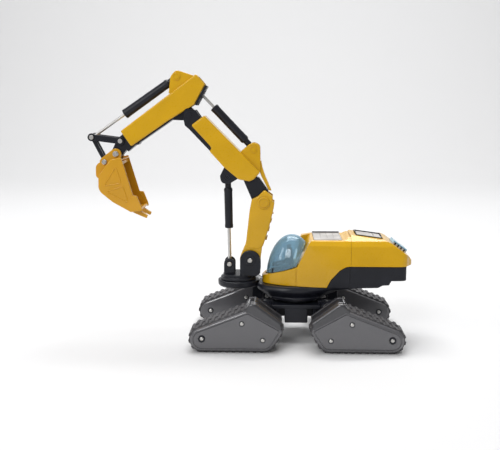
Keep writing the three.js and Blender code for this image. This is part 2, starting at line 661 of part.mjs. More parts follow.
function stickShell() {
  const skin = outline([
    ...stickTop.slice().reverse(), [-101.8, 119.6, 0.5], [-78, 135.8], [-62.7, 145], [-56, 157.2],
  ]);
  const inside = outline([
    [-108.9, 127], [-61.4, 162], [-48, 160], [-60, 140], [-76, 128], [-100, 112], [-112, 124],
  ]);
  const bracket = outline([
    [-78.3, 152], [-77, 162, 3.2], [-73.6, 166], [-62.6, 162.4], [-64, 160], [-76, 151],
  ]);
  const cheeks = cut(across(bracket, BRACKET_HALF), across(outline([
    [-84, 156], [-78, 155.4], [-70.4, 160.4], [-69.4, 166], [-72, 170], [-84, 170],
  ]), EYE_HALF + GAP));
  const hollowed = cut(across(skin, STICK_HALF), across(inside, STICK_HALF - WALL));
  return cut(
    join(hollowed, cut(cheeks, across(inside, STICK_HALF - WALL))),
    bar(STICK_PIVOT, FORK_EYE + GAP, -8, 8),
    rod(BUCKET_BARREL_EYE, LOWERED_ROCKER_TIP, GROOVE, GROOVE, 4, BUCKET_CYLINDER.length + 4),
    bore(BUCKET_BARREL_EYE, TRUNNION));
}
piece('stick_shell', stickShell(), bodyYellow);

function stickCore() {
  const half = STICK_HALF - WALL - GAP;
  const tipHalf = EAR_INNER - 0.4;
  const body = outline([
    [-107.2, 126.9], [-60.6, 161.2], [-57.8, 157], [-63.8, 145.6], [-78, 134.6], [-96.5, 122],
    [-97.4, 120.6], [-99, 120.6], [-101.4, 118.6],
  ]);
  const tip = join(
    across(wrap([[...BUCKET_PIVOT, 3.3], [-105, 119.6, 1.4], [...ROCKER_PIVOT, 2.5]]), tipHalf),
    across(outline([[-104, 116.4], [-100.4, 119.4], [-106.4, 127.6], [-110.6, 124.4]]), tipHalf));
  const tongue = across(wrap([[...STICK_PIVOT, 3.9], [-72, 143, 5], [-79, 137.4, 1.6]]), FORK_GAP - GAP);
  const rodRoom = outline([
    [-64.6, 155.6], [-62.4, 150], [-61.4, 147.6], [-50, 140], [-50, 166], [-58, 160.6],
  ]);
  return cut(
    join(cut(across(body, half), bar(STICK_PIVOT, FORK_EYE + GAP, -8, 8)), tip, tongue),
    across(rodRoom, EYE_HALF + GAP),
    bar(STICK_ROD_EYE, 3.2, -EYE_HALF - GAP, EYE_HALF + GAP),
    bore(STICK_ROD_EYE, STICK_ROD_PIN),
    bore(STICK_PIVOT, STICK_PIN),
    bore(ROCKER_PIVOT, ROCKER_PIN.shaft),
    bore(BUCKET_PIVOT, BUCKET_PIN.shaft));
}
piece('stick_core', stickCore(), blackPlastic);
const stickPinHalf = BOOM_HALF - WALL - GAP;
piece('stick_pivot_pin', bar(STICK_PIVOT, STICK_PIN, -stickPinHalf, stickPinHalf), steel);

// ribbed plate on the stick's rear end, slotted for the cylinder rod
function stickEndPlate() {
  const line = [[-62.7, 145], [-56, 157.2]];
  const plate = onSlope(line, 0.3, 13.6, -1.6, -GAP, STICK_HALF - 0.4);
  const ribs = [1, 3, 5, 7, 9, 11, 13].map((s) =>
    onSlope(line, s - 0.5, s + 0.5, -2, -1.4, STICK_HALF - 0.4));
  return cut(join(plate, ...ribs), onSlope(line, -1, 10.6, -4, 1, EYE_HALF + GAP));
}

// ---------- cylinders ----------
// tube with a closed foot, an eye and trunnions, open at the rod's end
function barrel(eye, toward, { neckEnd, length, foot, mouth }) {
  const trunnionHalf = BRACKET_HALF - 0.3;
  return cut(
    join(
      rod(eye, toward, TUBE_NECK, TUBE_NECK, 0.5, neckEnd + 1),
      rod(eye, toward, foot, mouth, neckEnd, length),
      bar(eye, TUBE_EYE, -EYE_HALF, EYE_HALF),
      bar(eye, TRUNNION, -trunnionHalf, trunnionHalf)),
    rod(eye, toward, TUBE_BORE, TUBE_BORE, neckEnd + 2, length + 1));
}

// rod with an eye at its foot, reaching into the tube
const pistonRod = (foot, toward, size, eyeHalf) => join(
  rod(foot, toward, size.rod, size.rod, 0.2, size.reach),
  bar(foot, size.eye, -eyeHalf, eyeHalf));

piece('boom_cylinder_barrel', barrel(BOOM_BARREL_EYE, BOOM_ROD_FOOT, BOOM_CYLINDER), blackPlastic);
piece('boom_cylinder_rod', cut(
  pistonRod(BOOM_ROD_FOOT, BOOM_BARREL_EYE, BOOM_CYLINDER, EYE_HALF - GAP),
  bore(BOOM_ROD_FOOT, CYLINDER_FOOT_PIN.shaft)), steel);

piece('stick_cylinder_barrel', barrel(STICK_BARREL_EYE, STICK_ROD_EYE, STICK_CYLINDER), blackPlastic);
piece('stick_cylinder_rod', join(
  pistonRod(STICK_ROD_EYE, STICK_BARREL_EYE, STICK_CYLINDER, EYE_HALF - GAP),
  bar(STICK_ROD_EYE, STICK_ROD_PIN, -3.9, 3.9)), steel);

piece('bucket_cylinder_barrel', barrel(BUCKET_BARREL_EYE, ROCKER_TIP, BUCKET_CYLINDER), blackPlastic);
piece('bucket_cylinder_rod', cut(
  pistonRod(ROCKER_TIP, BUCKET_BARREL_EYE, BUCKET_CYLINDER, 0.9),
  bore(ROCKER_TIP, ROCKER_TIP_PIN.shaft)), steel);

// ---------- bucket linkage ----------
// rocker: two arms riveted together by the pins at their ends
function rocker() {
  const arm = wrap([[...ROCKER_TIP, 2.4], [...ROCKER_PIVOT, 2.3]]);
  return join(
    ...bothSides(arm, EAR_INNER, EAR_OUTER),
    headedPin(ROCKER_PIVOT, ROCKER_PIN, EAR_OUTER),
    headedPin(ROCKER_TIP, ROCKER_TIP_PIN, EAR_OUTER));
}
piece('bucket_rocker', rocker(), blackPlastic);

// link: two bars with an eye across each end
function bucketLink() {
  const shape = wrap([[...ROCKER_TIP, 2.1], [...LINK_PIVOT, 2.4]]);
  const middle = wrap([[-124.6, 122, 1.2], [-120.2, 113.5, 1.2]]);
  return cut(
    join(...bothSides(shape, 1.3, 3.5), across(middle, 2)),
    bore(ROCKER_TIP, ROCKER_TIP_PIN.shaft),
    bar(LINK_PIVOT, LINK_BORE, -THROUGH, THROUGH));
}
piece('bucket_link', bucketLink(), blackPlastic);

// ---------- bucket ----------
// side view of the bucket; the mouth faces the machine
const bucketSide = outline([
  [-106.8, 113.2], [-99.8, 89.4], [-94.6, 81.2, 0.6], [-101.4, 79.8], [-112.6, 86, 6],
  [-121.2, 93, 5], [-121, 102, 4], [-113.4, 112],
]);

const TOOTH_PLACES = [-7, 7];
const TOOTH_HALF = 1.3;

function bucketPiece() {
  const inner = BUCKET_HALF - WALL;
  const hollow = outline([
    [-105.6, 109.6], [-101.4, 89.4], [-97, 82.4], [-101.6, 81], [-112, 87.2, 5], [-120, 93.8, 4],
    [-119.6, 101, 3], [-116.8, 105.7],
  ]);
  const mouth = outline([[-107.4, 111.2], [-101.4, 89.4], [-97, 82.4], [-85, 84], [-95, 118]]);
  const overTop = outline([[-120.4, 106], [-106.8, 110.8], [-105, 122], [-124, 122]]);
  const ear = wrap([[-117, 107.2, 2], [-110.4, 109.6, 1.6], [...BUCKET_PIVOT, 3.4], [...LINK_PIVOT, 3]]);
  const hook = outline([
    [-124.2, 100.4, 2], [-124, 108.6, 4], [-118, 111.4, 2], [-116, 104], [-119.8, 99.4],
  ]);
  const ears = [ear, hook].flatMap((shape) => bothSides(shape, EAR_INNER, EAR_OUTER));
  const lip = outline([[-102.4, 79.9], [-98.2, 81.2], [-92.2, 77.2], [-93, 75.5], [-99.4, 78.4]]);
  const teeth = TOOTH_PLACES.map((y) => side(lip, y - TOOTH_HALF, y + TOOTH_HALF));
  const cutter = outline([
    [-101, 90.4], [-97.6, 90], [-95, 83.4], [-94.4, 80.8], [-98.6, 80.6], [-102, 86],
  ]);
  const cutters = bothSides(cutter, BUCKET_HALF - 0.7, BUCKET_HALF + 0.5);
  const room = [hollow, mouth, overTop].map((shape) => across(shape, inner));
  return cut(
    join(cut(across(bucketSide, BUCKET_HALF), ...room), ...ears, ...teeth, ...cutters),
    bore(BUCKET_PIVOT, BUCKET_PIN.shaft),
    bore(LINK_PIVOT, LINK_PIN.shaft));
}
piece('bucket', bucketPiece(), bucketYellow);
piece('bucket_pin', headedPin(BUCKET_PIVOT, BUCKET_PIN, EAR_OUTER + GAP), steel);
piece('bucket_link_pin', headedPin(LINK_PIVOT, LINK_PIN, EAR_OUTER + GAP), steel);
piece('stick_end_plate', stickEndPlate(), ventSilver);

export default group;
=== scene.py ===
import json
import math

import bmesh
import bpy
from mathutils import Matrix, Vector


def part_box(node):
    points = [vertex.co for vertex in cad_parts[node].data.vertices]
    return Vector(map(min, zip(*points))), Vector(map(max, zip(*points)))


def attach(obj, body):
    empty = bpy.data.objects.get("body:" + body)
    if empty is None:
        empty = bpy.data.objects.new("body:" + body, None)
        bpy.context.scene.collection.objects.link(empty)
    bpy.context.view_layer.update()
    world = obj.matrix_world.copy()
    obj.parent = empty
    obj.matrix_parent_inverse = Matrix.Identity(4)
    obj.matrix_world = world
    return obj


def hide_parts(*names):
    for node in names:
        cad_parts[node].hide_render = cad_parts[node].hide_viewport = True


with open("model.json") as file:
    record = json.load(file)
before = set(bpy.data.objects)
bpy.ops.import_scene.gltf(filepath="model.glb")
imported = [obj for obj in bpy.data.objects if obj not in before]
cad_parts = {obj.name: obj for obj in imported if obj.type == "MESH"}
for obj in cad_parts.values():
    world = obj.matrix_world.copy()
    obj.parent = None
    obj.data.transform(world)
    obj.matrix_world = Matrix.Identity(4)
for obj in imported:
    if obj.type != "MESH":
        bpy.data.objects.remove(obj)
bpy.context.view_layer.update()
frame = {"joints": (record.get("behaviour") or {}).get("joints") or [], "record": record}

MM = 0.001
JOINTS = {joint["name"]: joint["pos_m"] for joint in frame["joints"]}
SLEW_X = JOINTS["house_slew"][0]
BODIES = frame["record"]["behaviour"]["bodies"]
BODY_OF = {node: body for body, nodes in BODIES.items() for node in nodes}
SLOT_OF = {part["node"]: part["material_slot"] for part in frame["record"]["subparts"]}


def pivot(joint):
    """Side view place of a joint, in millimetres from the slew axis."""
    x, _, z = JOINTS[joint]
    return ((x - SLEW_X) / MM, z / MM)


def middle(node):
    """Side view place of a CAD node's middle, in millimetres from the slew axis."""
    low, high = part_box(node)
    return (((low.x + high.x) / 2 - SLEW_X) / MM, (low.z + high.z) / 2 / MM)


def half(node):
    """Half of a CAD node's width across the machine, in millimetres."""
    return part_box(node)[1].y / MM


# ---------- places and widths, from the frame ----------
TURNTABLE_X = pivot("boom_swing")[0]
BOOM_PIVOT = pivot("boom_lift")
KNEE = pivot("knee_bend")
BOOM_ROD_FOOT = pivot("boom_rod_tilt")
BOOM_BARREL_EYE = pivot("boom_barrel_tilt")
STICK_PIVOT = pivot("stick_swing")
STICK_BARREL_EYE = pivot("stick_barrel_tilt")
STICK_ROD_EYE = pivot("stick_rod_tilt")
BUCKET_BARREL_EYE = pivot("bucket_barrel_tilt")
ROCKER_PIVOT = pivot("rocker_swing")
ROCKER_TIP = pivot("link_tilt")
BUCKET_PIVOT = pivot("bucket_curl")
LINK_PIVOT = middle("bucket_link_pin")
LEG_PIVOT = pivot("front_left_leg_pitch")

BOOM_HALF = half("upper_boom_shell")
STICK_HALF = half("stick_shell")
HOUSE_HALF = half("front_body_shell")
CUTTER_PROUD = 0.5
BUCKET_HALF = half("bucket") - CUTTER_PROUD
NECK_HALF = 4.0
FORK_GAP = 3.1
FORK_EYE = 3.3
BRACKET_HALF = 4.3
EYE_HALF = 2.5
EAR_INNER = 3.9
EAR_OUTER = 5.3
GAP = 0.3
WALL = 1.2

# Radii of the bores, and how far a bore's cutter reaches to each side.
SLEW_BORE = 2.7
LEG_BORE = 1.55
BOOM_BORE = 1.5
ROD_FOOT_BORE = 1.2
BARREL_BORE = 1.3
KNEE_BORE = 1.9
STICK_BORE = 1.7
ROD_EYE_BORE = 1.1
ROCKER_BORE = 1.2
BUCKET_BORE = 1.4
LINK_BORE = 1.0
THROUGH_ARM = 8
THROUGH_BOOM = 12
THROUGH_CHASSIS = 25

COVER_RIM = 1.8
TRACK_OUTER = half("front_right_belt") + COVER_RIM
TRACK_INNER = 22.5
LUG_HEIGHT = 0.65
WHEELS = [(-56, 8.2, 8.2), (-19.6, 8.2, 8.2), (-10.9, 13.6, 3.3), (-28.8, 23.4, 4.0)]
RIVETS = [(-56, 8.8), (-32.3, 18.1), (-20, 8.2)]
LEGS = [("front_left", 1, 1), ("front_right", 1, -1), ("rear_left", -1, 1), ("rear_right", -1, -1)]

PLATE_TOP = 24
HULL_BOTTOM = 26
BODY_BOTTOM = 34.9
TURNTABLE_TOP = 40
WAIST = 48
SEAM_X = 33
ARCH_X = 18.5
ROOF = 63.4


# ---------- outlines ----------
ARC_STEP = math.radians(9)


def arc(centre, radius, start, end):
    """Points from one angle to another, either way round."""
    steps = max(2, math.ceil(abs(end - start) / ARC_STEP))
    angles = [start + (end - start) * i / steps for i in range(steps + 1)]
    return [Vector((centre[0] + radius * math.cos(a), centre[1] + radius * math.sin(a))) for a in angles]


def rounded(points):
    """Closed outline; a corner (x, y, radius) is rounded by an arc, and (x, y) stays sharp."""
    result = []
    for i, corner in enumerate(points):
        here = Vector(corner[:2])
        if len(corner) == 2:
            result.append(here)
            continue
        before = (Vector(points[i - 1][:2]) - here).normalized()
        after = (Vector(points[(i + 1) % len(points)][:2]) - here).normalized()
        opening = before.angle(after) / 2
        reach = corner[2] / math.tan(opening)
        centre = here + (before + after).normalized() * corner[2] / math.sin(opening)
        first = here + before * reach - centre
        last = here + after * reach - centre
        start = math.atan2(first.y, first.x)
        turn = (math.atan2(last.y, last.x) - start + math.pi) % (2 * math.pi) - math.pi
        result += arc(centre, corner[2], start, start + turn)
    return result


def wrap(circles, grow=0.0):
    """The line pulled tight round a convex row of circles (x, y, radius), anticlockwise."""
    def bearing(a, b):
        length = math.hypot(b[0] - a[0], b[1] - a[1])
        return math.atan2(b[1] - a[1], b[0] - a[0]) - math.acos((a[2] - b[2]) / length)
    result = []
    for i, circle in enumerate(circles):
        start = bearing(circles[i - 1], circle)
        end = bearing(circle, circles[(i + 1) % len(circles)])
        end = start + (end - start) % (2 * math.pi)
        result += arc(circle, circle[2] + grow, start, end)
    return result


def ring(at, radius):
    return arc(at, radius, 0, 2 * math.pi)[:-1]


def inset(outline, by):
    """Outline with every edge moved inwards by a distance."""
    count = len(outline)
    area = sum(outline[i - 1].cross(outline[i]) for i in range(count))
    sign = math.copysign(1, area)
    result = []
    for i, here in enumerate(outline):
        before = (here - outline[i - 1]).normalized()
        after = (outline[(i + 1) % count] - here).normalized()
        a = Vector((-before.y, before.x)) * sign
        b = Vector((-after.y, after.x)) * sign
        result.append(here + (a + b) * by / max(1 + a.dot(b), 0.35))
    return result


# ---------- solids ----------
EDGE = 0.35
QUARTER = [math.radians(a) for a in (0, 30, 60, 90)]


def in_side_view(u, v, w):
    return (u, w, v)


def in_plan(u, v, w):
    return (u, v, w)


def in_section(u, v, w):
    return (w, u, v)


def loft(rings, closed=False):
    """Solid through rings of points with equal counts, capped at both ends unless closed."""
    mesh = bmesh.new()
    rows = [[mesh.verts.new(point) for point in points] for points in rings]
    pairs = list(zip(rows, rows[1:])) + ([(rows[-1], rows[0])] if closed else [])
    for low, high in pairs:
        for i in range(len(low)):
            mesh.faces.new((low[i - 1], low[i], high[i], high[i - 1]))
    if not closed:
        mesh.faces.new(rows[0])
        mesh.faces.new(rows[-1])
    bmesh.ops.recalc_face_normals(mesh, faces=mesh.faces)
    return as_object("solid", mesh)


def as_object(name, mesh):
    """Scene object of a bmesh, which is freed."""
    data = bpy.data.meshes.new(name)
    mesh.to_mesh(data)
    mesh.free()
    made = bpy.data.objects.new(name, data)
    bpy.context.scene.collection.objects.link(made)
    return made


def stepped(outline, steps, view=in_side_view):
    """Solid whose outline is drawn in by each step's first number at its second."""
    return loft([[view(*point, w) for point in inset(outline, inward)] for inward, w in steps])


def rims(low, high, edge):
    """Steps for a prism with rounded rims."""
    bends = [(edge * (1 - math.sin(a)), edge * (1 - math.cos(a))) for a in QUARTER]
    return [(i, low + w) for i, w in bends] + [(i, high - w) for i, w in reversed(bends)]


def prism(outline, low, high, edge=EDGE, view=in_side_view):
    steps = rims(low, high, edge) if edge else [(0, low), (0, high)]
    return stepped(outline, steps, view)


def across(outline, width, edge=EDGE):
    """Prism across the machine, the same on both sides of its middle plane."""
    return prism(outline, -width, width, edge)


def both_sides(outline, inner, outer, edge=EDGE):
    return [prism(outline, inner, outer, edge), prism(outline, -outer, -inner, edge)]


def bar(at, radius, low, high, edge=0):
    return prism(ring(at, radius), low, high, edge)


def bore(at, radius, reach=THROUGH_ARM):
    """Cutter for a bore across the machine."""
    return bar(at, radius, -reach, reach)


def block(x0, x1, y0, y1, z0, z1, edge=0):
    return prism([Vector(p) for p in ((x0, z0), (x1, z0), (x1, z1), (x0, z1))], y0, y1, edge)


def turned(profile, origin=(0, 0, 0), axis=(0, 0, 1), count=48):
    """Solid of revolution; the profile is (radius, along, corner radius) from axis to axis."""
    along = Vector(axis).normalized()
    sideways = along.orthogonal().normalized()
    other = along.cross(sideways)
    rings = []
    for radius, distance in rounded(profile):
        if radius < 1e-6:
            continue
        angles = [2 * math.pi * i / count for i in range(count)]
        rings.append([
            Vector(origin) + along * distance + (sideways * math.cos(a) + other * math.sin(a)) * radius
            for a in angles])
    return loft(rings)


def upright(profile, x=0):
    return turned([(0, profile[0][1]), *profile, (0, profile[-1][1])], (x, 0, 0))


def slew_bore(low, high):
    return upright([(SLEW_BORE, low), (SLEW_BORE, high)])


def spindle(start, toward, profile):
    """Turned solid in the middle plane, along the line from one side view point to another."""
    axis = (toward[0] - start[0], 0, toward[1] - start[1])
    ends = [(0, profile[0][1]), *profile, (0, profile[-1][1])]
    return turned(ends, (start[0], 0, start[1]), axis, 40)


def pin(at, radius, head, reach, thickness):
    """Pin across the machine, with a grooved head on each end."""
    tip = reach + thickness
    groove = tip - 0.35
    end = [(0, tip), (head * 0.42, tip), (head * 0.46, groove), (head * 0.62, groove), (head * 0.66, tip),
           (head * 0.8, tip), (head, tip - thickness * 0.4), (head, reach), (radius, reach)]
    steps = [(r, -along) for r, along in end] + end[::-1]
    return turned(steps, (at[0], 0, at[1]), (0, 1, 0), 32)


def apply_modifiers(solid):
    graph = bpy.context.evaluated_depsgraph_get()
    data = bpy.data.meshes.new_from_object(solid.evaluated_get(graph))
    solid.modifiers.clear()
    solid.data = data


def combine(base, joins=(), keeps=(), cuts=()):
    """Base joined to some solids, limited to others and cut by the rest."""
    groups = (("UNION", joins), ("INTERSECT", keeps), ("DIFFERENCE", cuts))
    tools = [(operation, tool) for operation, group in groups for tool in group]
    for operation, tool in tools:
        modifier = base.modifiers.new(operation, "BOOLEAN")
        modifier.operation = operation
        modifier.object = tool
        modifier.solver = "EXACT"
    apply_modifiers(base)
    for _, tool in tools:
        bpy.data.objects.remove(tool)
    return base


def hoops(at, outer, inner, start, end):
    """Ring-shaped cutters for grooves, one on each side."""
    return [combine(bar(at, outer, low, high), cuts=[bar(at, inner, low - 1, high + 1)])
            for low, high in ((start, end), (-end, -start))]


def together(*solids):
    """One mesh from solids that only touch or stand apart."""
    mesh = bmesh.new()
    for solid in solids:
        mesh.from_mesh(solid.data)
        if solid is not solids[0]:
            bpy.data.objects.remove(solid)
    mesh.to_mesh(solids[0].data)
    mesh.free()
    return solids[0]


def mirrored(solid, along_x, along_y):
    """Copy of a solid for another corner of the machine."""
    data = solid.data.copy()
    data.transform(Matrix.Diagonal((along_x, along_y, 1, 1)))
    if along_x * along_y < 0:
        data.flip_normals()
    copy = bpy.data.objects.new("solid", data)
    bpy.context.scene.collection.objects.link(copy)
    return copy


# ---------- materials ----------
def new_material(name, colour, roughness, **sockets):
    """Principled material; Coat_Weight=1 sets the shader's Coat Weight."""
    material = bpy.data.materials.new(name)
    material.use_nodes = True
    inputs = shader_of(material).inputs
    inputs["Base Color"].default_value = (*colour, 1)
    inputs["Roughness"].default_value = roughness
    for socket, value in sockets.items():
        inputs[socket.replace("_", " ")].default_value = value
    return material


def shader_of(material):
    return material.node_tree.nodes["Principled BSDF"]


def add_noise(material, scale, detail):
    """Noise fixed to the object."""
    tree = material.node_tree
    place = tree.nodes.new("ShaderNodeTexCoord")
    texture = tree.nodes.new("ShaderNodeTexNoise")
    texture.inputs["Scale"].default_value = scale
    texture.inputs["Detail"].default_value = detail
    tree.links.new(place.outputs["Object"], texture.inputs["Vector"])
    return texture.outputs["Fac"]


def vary(material, socket, noise, low, high, start=0.3, end=0.7):
    """Drives a shader socket from one colour to another as the noise goes from start to end."""
    tree = material.node_tree
    ramp = tree.nodes.new("ShaderNodeValToRGB")
    for stop, position, colour in zip(ramp.color_ramp.elements, (start, end), (low, high)):
        stop.position = position
        stop.color = (*colour, 1)
    tree.links.new(noise, ramp.inputs["Fac"])
    tree.links.new(ramp.outputs["Color"], shader_of(material).inputs[socket])


def add_bump(material, noise, strength, distance):
    tree = material.node_tree
    bump = tree.nodes.new("ShaderNodeBump")
    bump.inputs["Strength"].default_value = strength
    bump.inputs["Distance"].default_value = distance
    tree.links.new(noise, bump.inputs["Height"])
    tree.links.new(bump.outputs["Normal"], shader_of(material).inputs["Normal"])


def shade(colour, factor):
    return tuple(min(1.0, c * factor) for c in colour)


def grey(value):
    return (value, value, value)


def enamel(name, colour, roughness):
    """Sprayed enamel: faint orange peel, and slow drifts of tone and gloss."""
    paint = new_material(
        name, colour, roughness, Specular_IOR_Level=0.15, Coat_Weight=0.55, Coat_Roughness=0.07)
    vary(paint, "Base Color", add_noise(paint, 60, 2), shade(colour, 0.95), shade(colour, 1.05))
    vary(paint, "Roughness", add_noise(paint, 900, 2), grey(roughness - 0.05), grey(roughness + 0.06))
    add_bump(paint, add_noise(paint, 2400, 2), 0.12, 0.00006)
    return paint


def moulded(name, colour, roughness, grain, grain_depth, gloss=0.5):
    """Moulded plastic or cast parts: a fine grain and a slow drift of tone."""
    plastic = new_material(name, colour, roughness, Specular_IOR_Level=gloss)
    vary(plastic, "Base Color", add_noise(plastic, 120, 3), shade(colour, 0.8), shade(colour, 1.25))
    fine = add_noise(plastic, grain, 4)
    vary(plastic, "Roughness", fine, grey(roughness - 0.07), grey(roughness + 0.08))
    add_bump(plastic, fine, 0.25, grain_depth)
    return plastic


def speckled(name, colour, bright):
    """Lacquered graphite paint with metal flakes."""
    paint = new_material(name, colour, 0.36, Metallic=0.35, Coat_Weight=1.0, Coat_Roughness=0.1)
    flakes = add_noise(paint, 5200, 2)
    vary(paint, "Base Color", flakes, shade(colour, 0.72), bright, 0.38, 0.72)
    vary(paint, "Roughness", flakes, grey(0.46), grey(0.3))
    add_bump(paint, flakes, 0.2, 0.00005)
    return paint


def plated(name, colour, roughness):
    """Nickel plate with fine turning marks."""
    plate = new_material(name, colour, roughness, Metallic=1.0)
    marks = add_noise(plate, 1500, 3)
    vary(plate, "Roughness", marks, grey(roughness - 0.06), grey(roughness + 0.1))
    add_bump(plate, marks, 0.1, 0.00003)
    return plate


def tinted(name, colour, clearness):
    """Tinted plastic, more or less clear, with a slight haze."""
    plastic = new_material(name, colour, 0.06, Transmission_Weight=clearness, IOR=1.45)
    vary(plastic, "Roughness", add_noise(plastic, 200, 2), grey(0.03), grey(0.1))
    return plastic


FINISHES = {
    "body_yellow": enamel("body_yellow", (0.62, 0.345, 0.004), 0.3),
    "bucket_yellow": enamel("bucket_yellow", (0.60, 0.30, 0.012), 0.42),
    "black_casting": moulded("black_casting", (0.009, 0.010, 0.015), 0.34, 1800, 0.00003, 0.3),
    "track_grey": speckled("track_grey", (0.085, 0.084, 0.092), (0.165, 0.163, 0.175)),
    "belt_grey": moulded("belt_grey", (0.055, 0.053, 0.057), 0.55, 1400, 0.0001),
    "steel": plated("steel", (0.56, 0.55, 0.53), 0.3),
    "vent_silver": moulded("vent_silver", (0.46, 0.44, 0.42), 0.42, 1600, 0.00004),
    "clear_blue": tinted("clear_blue", (0.36, 0.56, 0.68), 0.72),
    "lens_blue": tinted("lens_blue", (0.30, 0.52, 0.66), 0.2),
    # Darker copy of the track paint for the fenders: painted shade, standing for the dark underside of the
    # house that the fenders reflect.
    "fender_shaded_grey": speckled("fender_shaded_grey", (0.032, 0.032, 0.037), (0.06, 0.06, 0.068)),
}


PANEL_WIDTH = 1.2
FLATTEST_BEND = math.radians(0.5)
SHARPEST_CURVE = math.radians(14)
SHARP_EDGE = math.radians(32)


def flatten_panels(data):
    """Marks broad flat faces as flat, so that their shading stays even."""
    mesh = bmesh.new()
    mesh.from_mesh(data)
    for face in mesh.faces:
        width = 2 * face.calc_area() / max(face.calc_perimeter(), 1e-9)
        if width >= PANEL_WIDTH:
            bends = [edge.calc_face_angle(0) for edge in face.edges]
            face.smooth = any(FLATTEST_BEND < bend < SHARPEST_CURVE for bend in bends)
    mesh.to_mesh(data)
    mesh.free()


def piece(name, solid, slot, body, finish=None):
    """Names a finished solid, gives it its finish and sets it on its body."""
    solid.name = name
    solid.data.name = name
    solid.data.materials.clear()
    solid.data.materials.append(FINISHES[finish or slot])
    solid.data.shade_smooth()
    solid.data.set_sharp_from_angle(angle=SHARP_EDGE)
    flatten_panels(solid.data)
    solid.data.transform(Matrix.Translation((SLEW_X, 0, 0)) @ Matrix.Scale(MM, 4))
    weighting = solid.modifiers.new("weighting", "WEIGHTED_NORMAL")
    weighting.keep_sharp = True
    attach(solid, body)


def stand_in(node, solid, finish=None):
    """The finished shape of one CAD node."""
    piece(node + "_shaped", solid, SLOT_OF[node], BODY_OF[node], finish)
    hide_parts(node)


def bevelled(solid, width):
    """Rounds every sharp edge of a solid; the result is kept in its mesh."""
    modifier = solid.modifiers.new("rounding", "BEVEL")
    modifier.width = width
    modifier.segments = 3
    modifier.limit_method = "ANGLE"
    modifier.angle_limit = math.radians(28)
    modifier.use_clamp_overlap = True
    apply_modifiers(solid)
    return solid


# ---------- track units ----------
def belt_path(pitch):
    """Evenly spaced (point, along, outward) on the belt's outer line."""
    line = wrap(WHEELS, -LUG_HEIGHT)
    lengths = [(line[i] - line[i - 1]).length for i in range(len(line))]
    total = sum(lengths)
    count = round(total / pitch)
    stations = []
    for k in range(2 * count):
        target = total * k / (2 * count)
        i = 0
        while target > lengths[i]:
            target -= lengths[i]
            i += 1
        direction = (line[i] - line[i - 1]).normalized()
        stations.append((line[i - 1] + direction * target, direction, Vector((direction.y, -direction.x))))
    return stations


def belt():
    """Hoop with rounded shoulders and two rows of lugs, set half a pitch apart."""
    thickness, shoulder, pitch, overlap = 1.85, 0.35, 4.1, 0.5
    low, high = -TRACK_OUTER + COVER_RIM, -TRACK_INNER - COVER_RIM
    steps = [(thickness, low), (shoulder, low), (0.1, low + 0.1), (0, low + shoulder),
             (0, high - shoulder), (0.1, high - 0.1), (shoulder, high), (thickness, high)]
    hoop = loft([[in_side_view(*p, w) for p in wrap(WHEELS, -LUG_HEIGHT - inward)] for inward, w in steps],
                closed=True)
    centre = (low + high) / 2
    lug = rounded([(-1.35, -0.2), (1.35, -0.2), (0.85, LUG_HEIGHT, 0.45), (-0.85, LUG_HEIGHT, 0.45)])
    stations = belt_path(pitch)
    rows = []
    for first, reach in ((0, (low + 0.1, centre + overlap)), (1, (centre - overlap, high - 0.1))):
        rows.append(together(*[
            prism([at + along * u + outward * v for u, v in lug], *reach, 0.3)
            for at, along, outward in stations[first::2]]))
    return combine(hoop, rows)


def outer_cover():
    """Cover plate with a rounded rim, a groove and a flat panel; the hub fills the belt."""
    outer = -TRACK_OUTER
    steps = [(1.3, -31.9), (1.3, outer + COVER_RIM), (0, outer + COVER_RIM), (0, outer + 1.5),
             (0.15, outer + 0.9), (0.55, outer + 0.35), (1.1, outer + 0.04), (1.5, outer),
             (1.58, outer + 0.5), (1.95, outer + 0.5), (2.1, outer + 0.1), (2.3, outer + 0.05)]
    slope_end = (*WHEELS[2][:2], 3.8)
    corners = [*WHEELS[:2], slope_end, WHEELS[3]]
    plate = loft([[in_side_view(*p, w) for p in wrap(corners, -1.3 - inward)] for inward, w in steps])
    well = bar(RIVETS[0], 2.3, outer - 1, outer + 0.6)
    return combine(plate, cuts=[well])


def inner_cover():
    inner = -TRACK_INNER
    steps = [(1.3, -31.5), (1.3, inner - 1.5), (0, inner - 1.5), (0, inner - 0.8), (0.25, inner - 0.25),
             (0.8, inner)]
    return loft([[in_side_view(*p, w) for p in wrap(WHEELS, -1.5 - inward)] for inward, w in steps])


def rivet(at, base, side_sign):
    """Domed rivet head standing on a cover."""
    head = 1.15
    profile = [(0, 0), (head, 0), (head, 0.75, 0.25), (head * 0.45, 1.0, 0.4), (0, 1.0)]
    return turned(profile, (at[0], base, at[1]), (0, side_sign, 0), 28)


def rivet_hole_shade_rings():
    """Black rings round the rivets of the covers: painted shade of the holes the rivets sit in."""
    hole = 1.2
    outer_span = (-TRACK_OUTER - 0.1, -TRACK_OUTER + 0.75)
    inner_span = (-TRACK_INNER - 0.6, -TRACK_INNER + 0.1)
    hole_shade_rings = []
    for at, radius in zip(RIVETS, (2.0, 1.6, 1.6)):
        for low, high in (outer_span, inner_span):
            hole_shade_rings.append(combine(bar(at, radius, low, high, 0.1), cuts=[bar(at, hole, low - 1, high + 1)]))
    return together(*hole_shade_rings)


def swept(section, path):
    """Solid whose (y, height) section follows a side view path, height along its left normal."""
    rings = []
    for i, here in enumerate(path):
        before = (here - path[max(i - 1, 0)]) or (path[1] - here)
        after = (path[min(i + 1, len(path) - 1)] - here) or before
        along = (before.normalized() + after.normalized()).normalized()
        outward = Vector((-along.y, along.x))
        rings.append([((here + outward * v).x, u, (here + outward * v).y) for u, v in section])
    return loft(rings)


